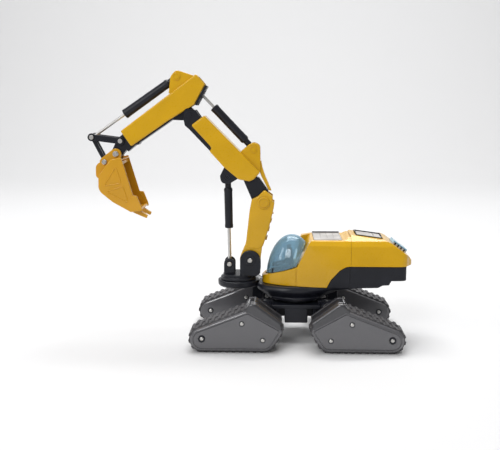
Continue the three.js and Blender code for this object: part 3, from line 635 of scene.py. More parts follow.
def fender():
    """Crowned plate bent over the apex and down the inner slope, with flanges to the covers."""
    near, far = -TRACK_OUTER + 0.05, -TRACK_INNER
    corners = [(-30.9, 25.8), (-27.6, 30.4, 2.4), (-24.4, 30.4, 3.2), (-8.7, 18.83)]
    path = [Vector(corners[0]), *rounded(corners)[1:-1], Vector(corners[-1])]
    crown = rounded([
        (near, -1.9), (near, 0, 1.75), (near + 3.0, 0, 0.4), (near + 3.5, -0.5, 0.3),
        (near + 4.4, -0.5, 0.3), (near + 5.0, 0, 0.4), (far - 5.0, 0, 0.4),
        (far - 4.4, -0.5, 0.3), (far - 3.5, -0.5, 0.3), (far - 3.0, 0, 0.4), (far, 0, 1.75), (far, -1.9)])
    plate = swept(crown, path)
    cheek = rounded([
        (-30.7, 25.4), (-27.5, 28.8, 2), (-24.7, 28.6, 2.4), (-9.8, 17.7), (-9.0, 15.2, 0.5),
        (-10.6, 14.6), (-27.6, 24.2), (-29.9, 24.8, 0.6)])
    flanges = [prism(cheek, near + 0.02, near + 1.4, 0.2), prism(cheek, far - 1.4, far - 0.02, 0.2)]
    return together(plate, *flanges)


def leg_arm():
    """Lever between the inner cover and the chassis lug, with a bossed and counterbored eye."""
    outer, inner, boss_inner, counterbore = TRACK_INNER - GAP, 17.8, 14.4, 20.5
    lever = prism(wrap([(-26.2, 19.5, 2), (*LEG_PIVOT, 3), (-25.5, 26.2, 2.6)]), -outer, -inner, 0.5)
    return combine(
        lever,
        [bar(LEG_PIVOT, 3, -counterbore, -boss_inner, 0.3)],
        cuts=[bar(LEG_PIVOT, LEG_BORE, -outer - 1, -10), bar(LEG_PIVOT, 2.6, -outer - 1, -counterbore)])


def leg_pin():
    profile = [(0, 9.2), (1.4, 9.2, 0.2), (1.4, 20.8), (2.1, 20.8), (2.1, 21.8, 0.3), (0, 21.8)]
    return turned(profile, (LEG_PIVOT[0], 0, LEG_PIVOT[1]), (0, -1, 0), 28)


def track_units():
    models = {
        "outer_cover": outer_cover(), "inner_cover": inner_cover(), "belt": belt(),
        "fender": fender(), "arm": leg_arm(), "arm_pin": leg_pin()}
    heads = together(*[rivet(at, -TRACK_OUTER + 0.7, -1) for at in RIVETS],
                     *[rivet(at, -TRACK_INNER - 0.6, 1) for at in RIVETS])
    hole_shade_rings = rivet_hole_shade_rings()
    for name, along_x, along_y in LEGS:
        for part, model in models.items():
            # Fenders take the darker copy of the track paint: painted shade.
            finish = "fender_shaded_grey" if part == "fender" else None
            stand_in(f"{name}_{part}", mirrored(model, along_x, along_y), finish)
        leg = BODY_OF[name + "_belt"]
        piece(f"{name}_rivets", mirrored(heads, along_x, along_y), "steel", leg)
        # Black rings round the rivets: painted shade of the rivet holes.
        piece(f"{name}_rivet_hole_shade", mirrored(hole_shade_rings, along_x, along_y), "black_casting", leg)
    for model in [*models.values(), heads, hole_shade_rings]:
        bpy.data.objects.remove(model)


track_units()


# ---------- chassis ----------
def chassis():
    """Plate on a column, with a lug pair and two ribs towards each leg."""
    column = across(rounded([(-7, 13, 0.8), (7, 13, 0.8), (7, 22), (-7, 22)]), 20, 0.5)
    plate = across(rounded([
        (-15, 21.7, 0.6), (15, 21.7, 0.6), (15, PLATE_TOP, 0.6), (-15, PLATE_TOP, 0.6)]), 20, 0.5)
    lug_inner, lug_outer = 9.4, 13.9
    joins, cuts = [plate], []
    for sx in (-1, 1):
        hip = rounded([(0, 22), (0, 15.5), (sx * 14.5, 15.5, 5.5), (sx * 14.5, 22)])
        lug = rounded([(0, 19.6), (sx * 21, 19.6, 2.9), (sx * 21, 25.5, 2.9),
                       (sx * 14, 25.5, 0.6), (sx * 13, 23), (0, 23)])
        rib = rounded([(sx * 10.6, PLATE_TOP), (sx * 12.2, PLATE_TOP), (sx * 12.2, 14, 0.4),
                       (sx * 10.6, 14, 0.4)])
        joins.append(across(hip, lug_outer, 0.8))
        joins += both_sides(lug, lug_inner, lug_outer, 0.4)
        joins += both_sides(rib, 14.5, 19.4, 0.3)
        at = (-sx * LEG_PIVOT[0], LEG_PIVOT[1])
        cuts.append(bore(at, LEG_BORE, THROUGH_CHASSIS))
        cuts += both_sides(ring(at, 3.4), 14.1, 21, 0)
    return combine(column, joins, cuts=[*cuts, slew_bore(10, 30)])


stand_in("chassis_frame", chassis())
stand_in("slew_ring", combine(
    upright([(15, PLATE_TOP + GAP, 0.3), (15, HULL_BOTTOM - GAP, 0.3)]), cuts=[slew_bore(20, 30)]))
stand_in("slew_pin", upright([(4.2, 11.6, 0.3), (4.2, 12.7, 0.2), (2.5, 12.7), (2.5, 31, 0.3)]))


# ---------- house ----------
def bezier(p0, p1, p2, p3, steps=16):
    result = []
    for i in range(steps):
        t = i / steps
        s = 1 - t
        result.append(Vector(p0) * s ** 3 + Vector(p1) * 3 * s * s * t
                      + Vector(p2) * 3 * s * t * t + Vector(p3) * t ** 3)
    return result


def body_plan(by):
    """Plan of the yellow body: pointed oval nose, straight sides, tight tail corners."""
    nose, tail, width = -21.3 + by, 71 - by, HOUSE_HALF - by
    corner = (tail - 3.5, width * 0.84)
    tail_edge = (tail, width * 0.42)
    right = (bezier((nose, 0), (nose, width * 0.6), (0, width * 0.92), (20, width))
             + [Vector((20, width))]
             + bezier((57, width), (tail - 7, width), (tail - 4.5, width * 0.97), corner, 8)
             + bezier(corner, (tail - 2.4, width * 0.68), (tail, width * 0.6), tail_edge, 8)
             + [Vector(tail_edge)])
    return right + [Vector((p.x, -p.y)) for p in reversed(right[1:])]


def plan_block(by=0.0):
    """Everything inside the body's plan, drawn in by a distance."""
    return prism(body_plan(by), 20, 70, 0, in_plan)


def section_block(by=0.0):
    """Everything inside the body's cross section, drawn in by a distance."""
    right = [(HOUSE_HALF - by, 30), (HOUSE_HALF - by, 46, 8), (17.3 - by, 60, 3), (15.6 - by, 63 - by, 1.5),
             (9.5, 66.3 - by)]
    left = [(-y, *rest) for y, *rest in reversed(right)]
    return prism(rounded(right + left), -30, 80, 0, in_section)


def body_block(outline, by=0.0):
    """The part of the body that shows inside a side view outline."""
    return combine(across(outline, HOUSE_HALF + 1, 0), keeps=[plan_block(by), section_block(by)])


ARCH = [(ARCH_X, BODY_BOTTOM), (ARCH_X + 2.3, 39.6, 6), (ARCH_X + 8, 45.8, 8), (SEAM_X - 2.5, WAIST, 6),
        (SEAM_X, WAIST)]
SILL = [(-19.2, 40.2), (0.4, 46.4)]
PILLAR = (7.4, 61.4)
SHELL_WALL = 1.5
VENT_DEPTH = 0.9
VENT_X = (10.4, 28)
VENT_HALF = 13.4
REAR_ROOF = [(33.6, 66.2), (54.5, 63.4)]
REAR_VENT = (2.9, 19.9)
REAR_VENT_HALF = 8.6
TAIL = [(57.5, 62), (68.4, 54)]
TAIL_LIGHT = (1.8, 12.6)


def on_line(line, *places):
    """Side view points, each given as (distance along the line, height over it)."""
    origin = Vector(line[0])
    along = (Vector(line[1]) - origin).normalized()
    outward = Vector((-along.y, along.x))
    return [origin + along * s + outward * n for s, n in places]


def on_slope(line, start, end, below, above, width, edge=0.0):
    """Strip laid along a sloping side view line."""
    return across(on_line(line, (start, below), (end, below), (end, above), (start, above)), width, edge)


def front_shell():
    outer = rounded([
        (-21.3, BODY_BOTTOM, 0.8), *ARCH, (SEAM_X, 64.9), (31.6, 64.9, 0.6), (29.6, ROOF, 0.8),
        (9.2, ROOF, 1.5), (*PILLAR, 1.0), SILL[1], SILL[0], (-21.3, 39, 1)])
    cockpit = rounded([(-19, 30), (-1.2, 30), (-1.2, 52), (-19, 52)])
    bay = rounded([
        (1.6, 30), (ARCH_X - 1.5, 30), (ARCH_X - 1.5, 36), (ARCH_X + 1.5, 41.4), (ARCH_X + 7.2, 46.9),
        (SEAM_X + 1, 49.4), (SEAM_X + 1, 62), (8.9, 62), (1.6, 46.2)])
    shoulder = combine(
        prism(rounded([(0.4, 46.4), (3.4, 62.2, 1), (9.4, ROOF), (9.4, 60), (2.4, 45)]), 10.6, 19, 0),
        keeps=[section_block()])
    skin = bevelled(combine(body_block(outer), [shoulder]), 0.5)
    vent = block(*VENT_X, -VENT_HALF, VENT_HALF, ROOF - VENT_DEPTH, 70)
    door_seam = combine(block(-0.3, 0.1, -25, 25, 30, 46.6), cuts=[plan_block(0.6)])
    return combine(skin, cuts=[
        body_block(cockpit, SHELL_WALL), body_block(bay, SHELL_WALL), vent, door_seam])


def rear_shell():
    half_seam = 0.14
    x0 = SEAM_X + half_seam
    outer = rounded([
        (x0, WAIST), (71, WAIST), (71, 50.4, 1.2), (*TAIL[1], 1.5), (*TAIL[0], 1.5), (*REAR_ROOF[1], 2),
        (*REAR_ROOF[0], 0.8), (x0, 65.4)])
    bay = rounded([
        (x0 - 1, WAIST - 1), (69.4, WAIST - 1), (69.4, 50), (67.2, 52.2), (56.2, 60.2), (53.8, 61.5),
        (34.4, 64.2), (x0 - 1, 64.2)])
    skin = bevelled(body_block(outer), 0.9)
    return combine(skin, cuts=[
        body_block(bay, SHELL_WALL),
        on_slope(REAR_ROOF, *REAR_VENT, -VENT_DEPTH, 3, REAR_VENT_HALF),
        on_slope(TAIL, *TAIL_LIGHT, -1.2, 4, 8)])


stand_in("front_body_shell", front_shell())
stand_in("rear_body_shell", rear_shell())


def front_vent():
    """Recessed vent across the front roof: a frame, four ribbed cells and a black strip along the far side,
    painted shade of the recess's far wall.
    """
    x0, x1, width = VENT_X[0] + GAP, VENT_X[1] - GAP, VENT_HALF - GAP
    border, cells_across, slats_across, slat = 0.5, 4, 4, 0.38
    cell = (x1 - x0 - 2 * border) / cells_across
    outline = [Vector(p) for p in ((x0, -width), (x1, -width), (x1, width), (x0, width))]
    pocket = block(x0 + border, x1 - border, border - width, width - border, ROOF - 0.3, 70)
    stand_in("roof_vent_front", combine(
        prism(outline, ROOF - 0.6, ROOF + 0.35, 0.12, in_plan), cuts=[pocket]))
    # Black strip on the far side: painted shade of the vent recess's far wall.
    far_wall_shade = block(x0 - 0.1, x1 + 0.1, width - 0.1, width + 0.9, ROOF - 0.6, ROOF + 1.0, 0.1)
    piece("roof_vent_front_far_shade", far_wall_shade, "black_casting", "house")
    cells, slats = [], []
    for i in range(cells_across):
        start = x0 + border + i * cell
        cells.append(block(
            start + 0.12, start + cell - 0.12, 0.7 - width, width - 0.7, ROOF - 0.28, ROOF + 0.12, 0.08))
        for k in range(slats_across):
            x = start + border + k * (cell - 2 * border) / 3.4
            slats.append(block(x, x + slat, 1.3 - width, width - 1.3, ROOF + 0.1, ROOF + 0.26, 0.06))
    piece("roof_vent_front_cells", together(*cells), "vent_silver", "house")
    piece("roof_vent_front_slats", together(*slats), "vent_silver", "house")


def rear_vent():
    """Vent laid on the sloping rear roof: black frame, a black rim on the far half painted as the shade of
    the recess's far wall, two panels and ten slats.
    """
    start, end, width = REAR_VENT[0] + GAP, REAR_VENT[1] - GAP, REAR_VENT_HALF - GAP
    border, slat, pitch = 0.5, 0.45, 0.9

    def strip(first, last, below, above, inward, edge=0.0):
        return on_slope(REAR_ROOF, first, last, below, above, width - inward, edge)
    stand_in("roof_vent_rear", combine(
        strip(start, end, -0.6, 0.5, 0, 0.12),
        cuts=[strip(start + border, end - border, -0.3, 3, border)]), "black_casting")
    near_side = block(20, 70, -20, 1, 50, 80)
    # Black rim on the far half only: painted shade of the vent recess's far wall.
    piece("roof_vent_rear_far_shade", combine(
        strip(start - 0.2, end + 0.2, 0.2, 0.8, -0.5, 0.1),
        cuts=[strip(start + 0.4, end - 0.4, -1, 3, 0.3), near_side]), "black_casting", "house")
    panels = [strip(start + 0.7, end - 5.2, -0.28, 0.25, 0.8, 0.1),
              strip(end - 4.8, end - 0.7, -0.28, 0.25, 0.8, 0.1)]
    piece("roof_vent_rear_cells", together(*panels), "vent_silver", "house")
    places = [start + 1.3 + pitch * k for k in range(10)]
    slats = [strip(s, s + slat, 0.2, 0.42, 1.6, 0.06) for s in places]
    piece("roof_vent_rear_slats", together(*slats), "vent_silver", "house")


def rear_light():
    """Blue lens standing proud of the tail slope, between silver rails with black slots."""
    start, end = TAIL_LIGHT
    stand_in("rear_light", on_slope(TAIL, start + GAP, end - GAP, 0.1, 2.0, 6.3, 0.4), "lens_blue")
    backing = on_slope(TAIL, start + 0.5, end - 0.5, -0.85, 0.05, 6.6, 0.1)

    def rail(first, last, below, above, inner, outer):
        outline = on_line(TAIL, (first, below), (last, below), (last, above), (first, above))
        return both_sides(outline, inner, outer, 0.15)
    rails = rail(start + 0.4, end - 0.4, -0.8, 0.95, 6.4, 7.6)
    piece("rear_light_rails", together(backing, *rails), "vent_silver", "house")
    width, pitch = 1.1, 2.3
    places = [start + 1.3 + pitch * k for k in range(4)]
    slots = [slot for s in places for slot in rail(s, s + width, -0.1, 1.3, 6.3, 7.68)]
    piece("rear_light_louvres", together(*slots), "black_casting", "house")


front_vent()
rear_vent()
rear_light()


def house_tray():
    """Boat-shaped hull: round over the slew ring, drawn out to the rear."""
    levels = [  # height, front, rear, half-width
        (HULL_BOTTOM, -16.6, 16.6, 13.5), (26.15, -17.4, 17.4, 14.6), (28.9, -21.2, 21.8, 16.2),
        (30.2, -23.0, 25.6, 17.0), (30.9, -24.0, 27.6, 17.6), (31.3, -24.4, 29.0, 17.85),
        (32.3, -24.6, 31.8, 18.0), (33.1, -24.7, 43, 18.0), (33.7, -24.7, 46, 18.0),
        (34.4, -24.6, 48.6, 17.95), (34.6, -24.4, 48.6, 17.7)]
    count, fullness = 96, 2.6
    angles = [2 * math.pi * i / count for i in range(count)]

    def bulge(value):
        return math.copysign(abs(value) ** (2 / fullness), value)
    rings = [[((rear + front) / 2 + (rear - front) / 2 * bulge(math.cos(a)), width * bulge(math.sin(a)), z)
              for a in angles] for z, front, rear, width in levels]
    boss = upright([(17.8, HULL_BOTTOM, 0.3), (18.6, 26.3, 0.3), (19.2, 28, 0.6), (15, 28.6)])
    turntable_well = upright([(13.3, 20), (13.3, 50)], TURNTABLE_X)
    return combine(loft(rings), [boss], cuts=[slew_bore(20, 40), turntable_well])


stand_in("house_tray", house_tray())


def rear_skirt():
    outline = rounded([
        (ARCH_X + 0.5, BODY_BOTTOM - 0.2), (SEAM_X + 9, BODY_BOTTOM - 0.2), (49.6, BODY_BOTTOM, 2),
        (52.4, 36.4, 1), (56.2, 36.6, 0.5), (57.6, 39.2, 0.6), (66.8, 39.2, 0.6), (66.8, WAIST - GAP),
        (SEAM_X, WAIST - GAP), (SEAM_X - 2.3, WAIST - GAP, 6), (ARCH_X + 8.3, 45.4, 8),
        (ARCH_X + 2.7, 39.4, 6)])
    hollow = rounded([
        (ARCH_X + 4, 30), (SEAM_X + 12, 30), (55, 41), (65, 41), (65, 52), (SEAM_X, 52), (SEAM_X, 46.4),
        (ARCH_X + 9, 43.6), (ARCH_X + 5, 40)])
    inward, depth = GAP, 0.35
    skin = combine(across(outline, HOUSE_HALF, 0), keeps=[plan_block(inward)])
    room = combine(across(hollow, HOUSE_HALF, 0), keeps=[plan_block(inward + SHELL_WALL)])
    seam = combine(block(32.3, 32.6, -25, 25, 30, WAIST + 1), cuts=[plan_block(inward + depth)])
    return combine(bevelled(skin, 0.3), cuts=[room, seam])


stand_in("rear_skirt", rear_skirt())

DOME_CENTRE = (-2.6, 0, 37)
DOME_RADII = (16, 14.4, 27.8)
DOME_WALL = 0.8


def ellipsoid(inward=0.0):
    """Egg-shaped solid, drawn in by a distance all round."""
    sphere = bmesh.new()
    bmesh.ops.create_uvsphere(sphere, u_segments=72, v_segments=40, radius=1)
    size = Matrix.Diagonal((*[radius - inward for radius in DOME_RADII], 1))
    bmesh.ops.transform(sphere, matrix=Matrix.Translation(DOME_CENTRE) @ size, verts=sphere.verts)
    return as_object("solid", sphere)


def dome():
    visible = rounded([
        (-25, 38.8), (-19.2, 40.6), (-0.1, 46.8), (6.8, 61.8), (8.6, 63.9), (8.6, 70), (-25, 70)])
    beside_shoulder = prism(rounded([(-2, 44), (3, 64), (12, 66), (12, 40)]), 10.2, 20, 0)
    return combine(ellipsoid(), keeps=[across(visible, 20, 0)], cuts=[ellipsoid(DOME_WALL), beside_shoulder])


stand_in("cab_dome", dome())


def seat():
    """Padded seat with side bolsters and a head rest."""
    frame_seat = across(rounded([
        (-12.4, BODY_BOTTOM), (-2.2, BODY_BOTTOM), (-1.6, 50), (-2.6, 57.4, 1.2), (-5.6, 57.4, 1.2),
        (-6.4, 46, 1.5), (-12.4, 44.6, 1.4)]), 4.6, 0.8)
    pads = [across(rounded([(-7.2, 47.5, 1), (-5.8, 47.5), (-5.0, 53.5), (-6.2, 53.5, 1)]), 3.2, 0.4),
            across(rounded([(-12.2, 44.6), (-7.6, 45.2), (-7.6, 46.4, 0.8), (-12.2, 45.9, 0.8)]), 3.4, 0.4)]
    consoles = both_sides(rounded([(-15, 38), (-4, 38), (-4, 47.6, 1), (-15, 45, 1.5)]), 6.2, 9.4, 0.6)
    return frame_seat, together(*pads, *consoles)


seat_frame, seat_trim = seat()
stand_in("cab_seat", seat_frame)
piece("cab_seat_trim", seat_trim, "black_casting", "house")


# ---------- boom turntable ----------
stand_in("turntable_base", upright([
    (12.0, 32.2, 0.4), (13, 33.2, 0.6), (13, 35.9, 0.5), (12.3, 36.2, 0.2)], TURNTABLE_X))


def boom_turntable():
    """Stepped disc with a bracket pair for the boom and another for its cylinder."""
    foot_outer = 8.9
    tiers = upright([
        (11.2, 36.5, 0.2), (11.2, 38.2, 0.5), (9.9, 38.5), (9.8, 39.8, 0.3), (9.2, TURNTABLE_TOP)],
        TURNTABLE_X)
    foot = rounded([
        (-34.8, TURNTABLE_TOP - 0.5), (-24.6, TURNTABLE_TOP - 0.5), (-22.2, 41.4), (-22.2, 55.7, 6.1),
        (-34.8, 55.7, 6.1)])
    cylinder_foot = rounded([
        (-45.1, TURNTABLE_TOP - 0.5), (-38.1, TURNTABLE_TOP - 0.5), (-38.1, 49.7, 3.3), (-45.1, 49.7, 3.3)])
    web = block(-24.4, -22.2, -foot_outer, foot_outer, 41.4, 42.4)
    bosses = both_sides(ring(BOOM_PIVOT, 3.4), BOOM_HALF + 0.6, 9.1, 0.25)
    joins = [web, *both_sides(foot, BOOM_HALF + 0.4, foot_outer, 0.4),
             *both_sides(cylinder_foot, EYE_HALF + GAP, BRACKET_HALF, 0.4), *bosses]
    return combine(tiers, joins, cuts=[
        bore(BOOM_PIVOT, BOOM_BORE, THROUGH_BOOM), bore(BOOM_ROD_FOOT, ROD_FOOT_BORE)])


stand_in("boom_turntable", boom_turntable())
stand_in("boom_pivot_pin", pin(BOOM_PIVOT, 1.4, 1.5, 9.2, 0.8))
stand_in("boom_cylinder_foot_pin", pin(BOOM_ROD_FOOT, 1.1, 1.5, BRACKET_HALF + GAP, 0.8))


# ---------- lower boom ----------
def lower_boom():
    """Box arm with a round foot, four tabs down its back and a slot for the upper boom's neck."""
    blade = rounded([
        (-21.4, 56, 4), (-19.6, 61, 8), (-16.6, 70.6, 20), (-14, 82, 4), (-13.6, 85.4), (-14.8, 86.2),
        (-14.6, 89.2, 1), (-19.8, 93.2, 1.4), (-23.8, 89.2, 2), (-27.6, 87.4, 0.8), (-29, 80, 20),
        (-31.6, 57)])
    foot = wrap([(*BOOM_PIVOT, 6.4), (-26.6, 57, 5.4)])
    back = [(-14.2, 81), (-19.4, 60)]
    tabs = [on_slope(back, s, s + 2.6, -1, 0.75, 2.4, 0.2) for s in (0.5, 6.2, 11.9, 17.6)]
    knee_slot = rounded([(-34, 79.4), (-25, 78.6), (-12, 78.6), (-12, 98), (-34, 98)])
    return combine(
        across(blade, BOOM_HALF, 0.7), [across(foot, BOOM_HALF - 0.2, 0.5), together(*tabs)],
        cuts=[across(knee_slot, NECK_HALF + 0.4, 0), bore(BOOM_PIVOT, BOOM_BORE, THROUGH_BOOM),
              bore(KNEE, KNEE_BORE, THROUGH_BOOM)])


stand_in("lower_boom", lower_boom())


def knee_pin():
    """Large yellow bosses, grooved round and slotted for a screwdriver."""
    reach = BOOM_HALF + GAP
    groove = (reach + 0.5, reach + 2)
    end = [(1.8, reach), (3.7, reach), (3.5, reach + 1, 0.4), (0, reach + 1)]
    profile = [(r, -along, *corner) for r, along, *corner in end[::-1]] + end
    body = turned(profile, (KNEE[0], 0, KNEE[1]), (0, 1, 0), 56)
    corners = ((45, 1.7), (60, 1.5), (225, 1.7), (240, 1.5))
    slot = [Vector(KNEE) + Vector((math.cos(a), math.sin(a))) * r
            for a, r in ((math.radians(degrees), r) for degrees, r in corners)]
    return combine(body, cuts=[*both_sides(slot, *groove, 0), *hoops(KNEE, 2.9, 2.5, *groove)])


stand_in("knee_pin", knee_pin())


# ---------- upper boom ----------
def upper_shell():
    """Yellow cover of the upper boom, with the cheeks that hold the stick cylinder."""
    skin = rounded([
        (-22.4, 104, 1), (-56.5, 138.6, 1), (-64.6, 132.6, 1), (-53.5, 120.6, 1), (-52.4, 118.8),
        (-53.4, 116.6, 1), (-44.6, 107, 6), (-35.7, 99.6, 1.5), (-29, 98.4, 1.5), (-26.4, 99.6, 1)])
    inside = rounded([
        (-24.2, 104.1), (-58.2, 138.6), (-75, 140), (-70, 110), (-40, 88), (-24, 92), (-24.4, 101.4)])
    bracket = rounded([
        (-35.2, 116), (-29.3, 121, 2), (STICK_BARREL_EYE[0], 122.4, 4), (-22.6, 120.6, 3), (-22.3, 111),
        (-22.4, 104.2), (-25.2, 105), (-34.2, 114.4)])
    room = rounded([(-37, 117.4), (-31, 112.6), (-24.2, 112.6), (-19, 117), (-19, 126), (-37, 126)])
    cheeks = combine(across(bracket, BRACKET_HALF, 0.4), cuts=[across(room, EYE_HALF + GAP, 0)])
    shell = combine(across(skin, BOOM_HALF, 0.8), cuts=[across(inside, BOOM_HALF - WALL, 0)])
    return combine(shell, [cheeks], cuts=[bore(STICK_BARREL_EYE, BARREL_BORE)])


stand_in("upper_boom_shell", upper_shell())


def upper_core():
    """Black core: fork for the stick, neck for the knee, belly bracket for the boom cylinder."""
    width = BOOM_HALF - WALL - GAP
    body = rounded([
        (-25.2, 102.6), (-58.4, 136.8), (-62, 142), (-69.6, 138, 2), (-68.6, 132.4, 1), (-66.2, 130.4, 1),
        (-53.8, 117.4), (-45, 108.2), (-36.2, 101), (-29.4, 99.8), (-27, 100.6)])
    neck = rounded([
        (-33, 99.4), (-27.4, 86.4), (KNEE[0] - 1.2, 80.7, 3.5), (KNEE[0] + 4.4, 81.4, 3.5),
        (-17.6, 92.4), (-23, 100.2), (-26.4, 101.6), (-28, 104)])
    belly = rounded([
        (-43, 109), (-44.8, 106.6), (-47.3, 101.6, 1.4), (-46.6, 96.9, 3), (-41.5, 96.6, 2.5), (-35, 100.6),
        (-38, 104)])
    room = EYE_HALF + GAP
    cheeks = combine(across(belly, BRACKET_HALF, 0.4), cuts=[
        bar(BOOM_BARREL_EYE, 4.6, -room, room), block(-50, -35, -room, room, 92, 100.6)])
    fork_eye = bar(STICK_PIVOT, FORK_EYE, -width, width, 0.3)
    return combine(
        across(body, width, 0.4), [across(neck, NECK_HALF, 0.5), cheeks, fork_eye],
        cuts=[bore(KNEE, KNEE_BORE), bore(BOOM_BARREL_EYE, BARREL_BORE), bore(BOOM_BARREL_EYE, 3.6, room),
              bore(STICK_PIVOT, 7.7, FORK_GAP), bore(STICK_PIVOT, STICK_BORE)])


stand_in("upper_boom_core", upper_core())
stand_in("boom_neck_rib", across(rounded([
    (-22.9, 110.6), (-22.9, 104.4, 4), (-21.7, 101.2, 4), (-17.2, 92.4), (-15.5, 92.6), (-19.3, 101.4, 4),
    (-21.0, 106.4, 6), (-21.9, 110.8)]), 3, 0.3))


# ---------- stick ----------
STICK_TOP = [(-108.2, 129), (-61.5, 163.4)]


def stick_shell():
    """Yellow cover of the stick, with the cheeks that hold the bucket cylinder."""
    skin = rounded([(*STICK_TOP[1], 1), (*STICK_TOP[0], 1), (-101.8, 119.6, 1), (-78, 135.8, 3),
                    (-62.7, 145, 1.2), (-56, 157.2, 1)])
    inside = rounded([
        (-108.9, 127), (-61.4, 162), (-48, 160), (-60, 140), (-76, 128), (-100, 112), (-112, 124)])
    bracket = rounded([
        (-78.3, 152), (-77, 162, 3.2), (-73.6, 166, 3), (-62.6, 162.4), (-64, 160), (-76, 151)])
    room = rounded([(-84, 156), (-78, 155.4), (-70.4, 160.4), (-69.4, 166), (-72, 170), (-84, 170)])
    cheeks = combine(across(bracket, BRACKET_HALF, 0.4), cuts=[
        across(room, EYE_HALF + GAP, 0), across(inside, STICK_HALF - WALL, 0)])
    shell = combine(across(skin, STICK_HALF, 0.8), cuts=[across(inside, STICK_HALF - WALL, 0)])
    groove = spindle(BUCKET_BARREL_EYE, (-123.5, 121.6), [(3, 4), (3, 44)])
    return combine(shell, [cheeks], cuts=[
        bore(STICK_PIVOT, FORK_EYE + GAP), groove, bore(BUCKET_BARREL_EYE, BARREL_BORE)])


stand_in("stick_shell", stick_shell())


def stick_core():
    """Black core: tongue for the stick pivot, and the tip that carries rocker and bucket."""
    width = STICK_HALF - WALL - GAP
    tip_half = EAR_INNER - 0.4
    body = rounded([
        (-107.2, 126.9), (-60.6, 161.2), (-57.8, 157), (-63.8, 145.6), (-78, 134.6, 2), (-96.5, 122),
        (-97.4, 120.6, 0.8), (-99, 120.6), (-101.4, 118.6)])
    tip = across(wrap([(*BUCKET_PIVOT, 3.3), (-105, 119.6, 1.4), (*ROCKER_PIVOT, 2.5)]), tip_half, 0.4)
    root = across(rounded([(-104, 116.4), (-100.4, 119.4), (-106.4, 127.6), (-110.6, 124.4)]), tip_half, 0.4)
    tongue = across(wrap([(*STICK_PIVOT, 3.9), (-72, 143, 5), (-79, 137.4, 1.6)]), FORK_GAP - GAP, 0.3)
    rod_room = rounded([
        (-64.6, 155.6), (-62.4, 150), (-61.4, 147.6), (-50, 140), (-50, 166), (-58, 160.6)])
    main = combine(across(body, width, 0.3), cuts=[bore(STICK_PIVOT, FORK_EYE + GAP)])
    return combine(main, [tip, root, tongue], cuts=[
        across(rod_room, EYE_HALF + GAP, 0), bore(STICK_ROD_EYE, 3.2, EYE_HALF + GAP),
        bore(STICK_ROD_EYE, ROD_EYE_BORE), bore(STICK_PIVOT, STICK_BORE),
        bore(ROCKER_PIVOT, ROCKER_BORE), bore(BUCKET_PIVOT, BUCKET_BORE)])


stand_in("stick_core", stick_core())
STICK_PIN_HALF = BOOM_HALF - WALL - GAP
stand_in("stick_pivot_pin", bar(STICK_PIVOT, 1.6, -STICK_PIN_HALF, STICK_PIN_HALF, 0.3))
stick_caps = both_sides(ring(STICK_PIVOT, 1.9), STICK_PIN_HALF + 0.02, STICK_PIN_HALF + 0.35, 0.12)
piece("stick_pivot_caps", together(*stick_caps), "black_casting", "boom_upper")


def stick_end_plate():
    """Ribbed plate on the stick's rear end, slotted for the cylinder rod."""
    rear_end = [(-62.7, 145), (-56, 157.2)]
    plate = on_slope(rear_end, 0.3, 13.6, -1.6, -GAP, STICK_HALF - 0.4, 0.1)
    ribs = [on_slope(rear_end, s - 0.35, s + 0.35, -2, -1.4, STICK_HALF - 1.2, 0.1) for s in range(1, 14)]
    return combine(plate, [together(*ribs)], cuts=[on_slope(rear_end, -1, 10.6, -4, 1, EYE_HALF + GAP)])


stand_in("stick_end_plate", stick_end_plate())


# ---------- cylinders ----------
def barrel(eye, toward, neck_end, length, foot, mouth):
    """Tube with a gland ring at its mouth, a stepped neck and a cross eye."""
    hollow, pin_reach = 1.8, BRACKET_HALF - 0.3
    tube = spindle(eye, toward, [
        (1.9, 0.5), (1.9, neck_end - 0.6), (foot - 0.4, neck_end - 0.2, 0.2), (foot, neck_end + 0.5, 0.3),
        (foot, neck_end + 1.8), (foot - 0.12, neck_end + 2), (mouth, length - 2.4),
        (mouth + 0.12, length - 2.2), (mouth + 0.12, length - 0.3, 0.25), (hollow + 0.45, length, 0.1),
        (hollow, length - 0.8), (hollow, length - 5)])
    return combine(tube, [bar(eye, 2.3, -EYE_HALF, EYE_HALF, 0.3), bar(eye, 1.2, -pin_reach, pin_reach)])


def piston_rod(eye, toward, radius, reach, eye_radius, eye_half):
    rod = spindle(eye, toward, [(radius, 0.2), (radius, reach, 0.2)])
    return combine(rod, [bar(eye, eye_radius, -eye_half, eye_half, 0.2)])


stand_in("boom_cylinder_barrel", barrel(BOOM_BARREL_EYE, BOOM_ROD_FOOT, 7, 32, 2.7, 2.5))
stand_in("boom_cylinder_rod", combine(
    piston_rod(BOOM_ROD_FOOT, BOOM_BARREL_EYE, 1.1, 31, 2.4, EYE_HALF - GAP),
    cuts=[bore(BOOM_ROD_FOOT, ROD_FOOT_BORE)]))
stand_in("stick_cylinder_barrel", barrel(STICK_BARREL_EYE, STICK_ROD_EYE, 7.4, 35.4, 2.7, 2.6))
stand_in("stick_cylinder_rod", combine(
    piston_rod(STICK_ROD_EYE, STICK_BARREL_EYE, 0.9, 28, 2, EYE_HALF - GAP),
    [bore(STICK_ROD_EYE, 1, 3.9)]))
stand_in("bucket_cylinder_barrel", barrel(BUCKET_BARREL_EYE, ROCKER_TIP, 6.4, 40, 2.75, 2.9))
stand_in("bucket_cylinder_rod", combine(
    piston_rod(ROCKER_TIP, BUCKET_BARREL_EYE, 0.9, 35, 1.9, 0.9), cuts=[bore(ROCKER_TIP, ROD_EYE_BORE)]))


def pin_caps(name, at, radius, body):
    """Flat grooved yellow caps over a bracket's pin, one on each side."""
    inner = BRACKET_HALF
    discs = together(*both_sides(ring(at, radius), inner, inner + 0.6, 0.15))
    caps = combine(discs, cuts=hoops(at, radius - 0.5, radius - 0.95, inner + 0.3, inner + 2))
    piece(name, caps, "body_yellow", body)


pin_caps("stick_barrel_pin_caps", STICK_BARREL_EYE, 2.2, "boom_upper")
pin_caps("bucket_barrel_pin_caps", BUCKET_BARREL_EYE, 2.3, "stick")


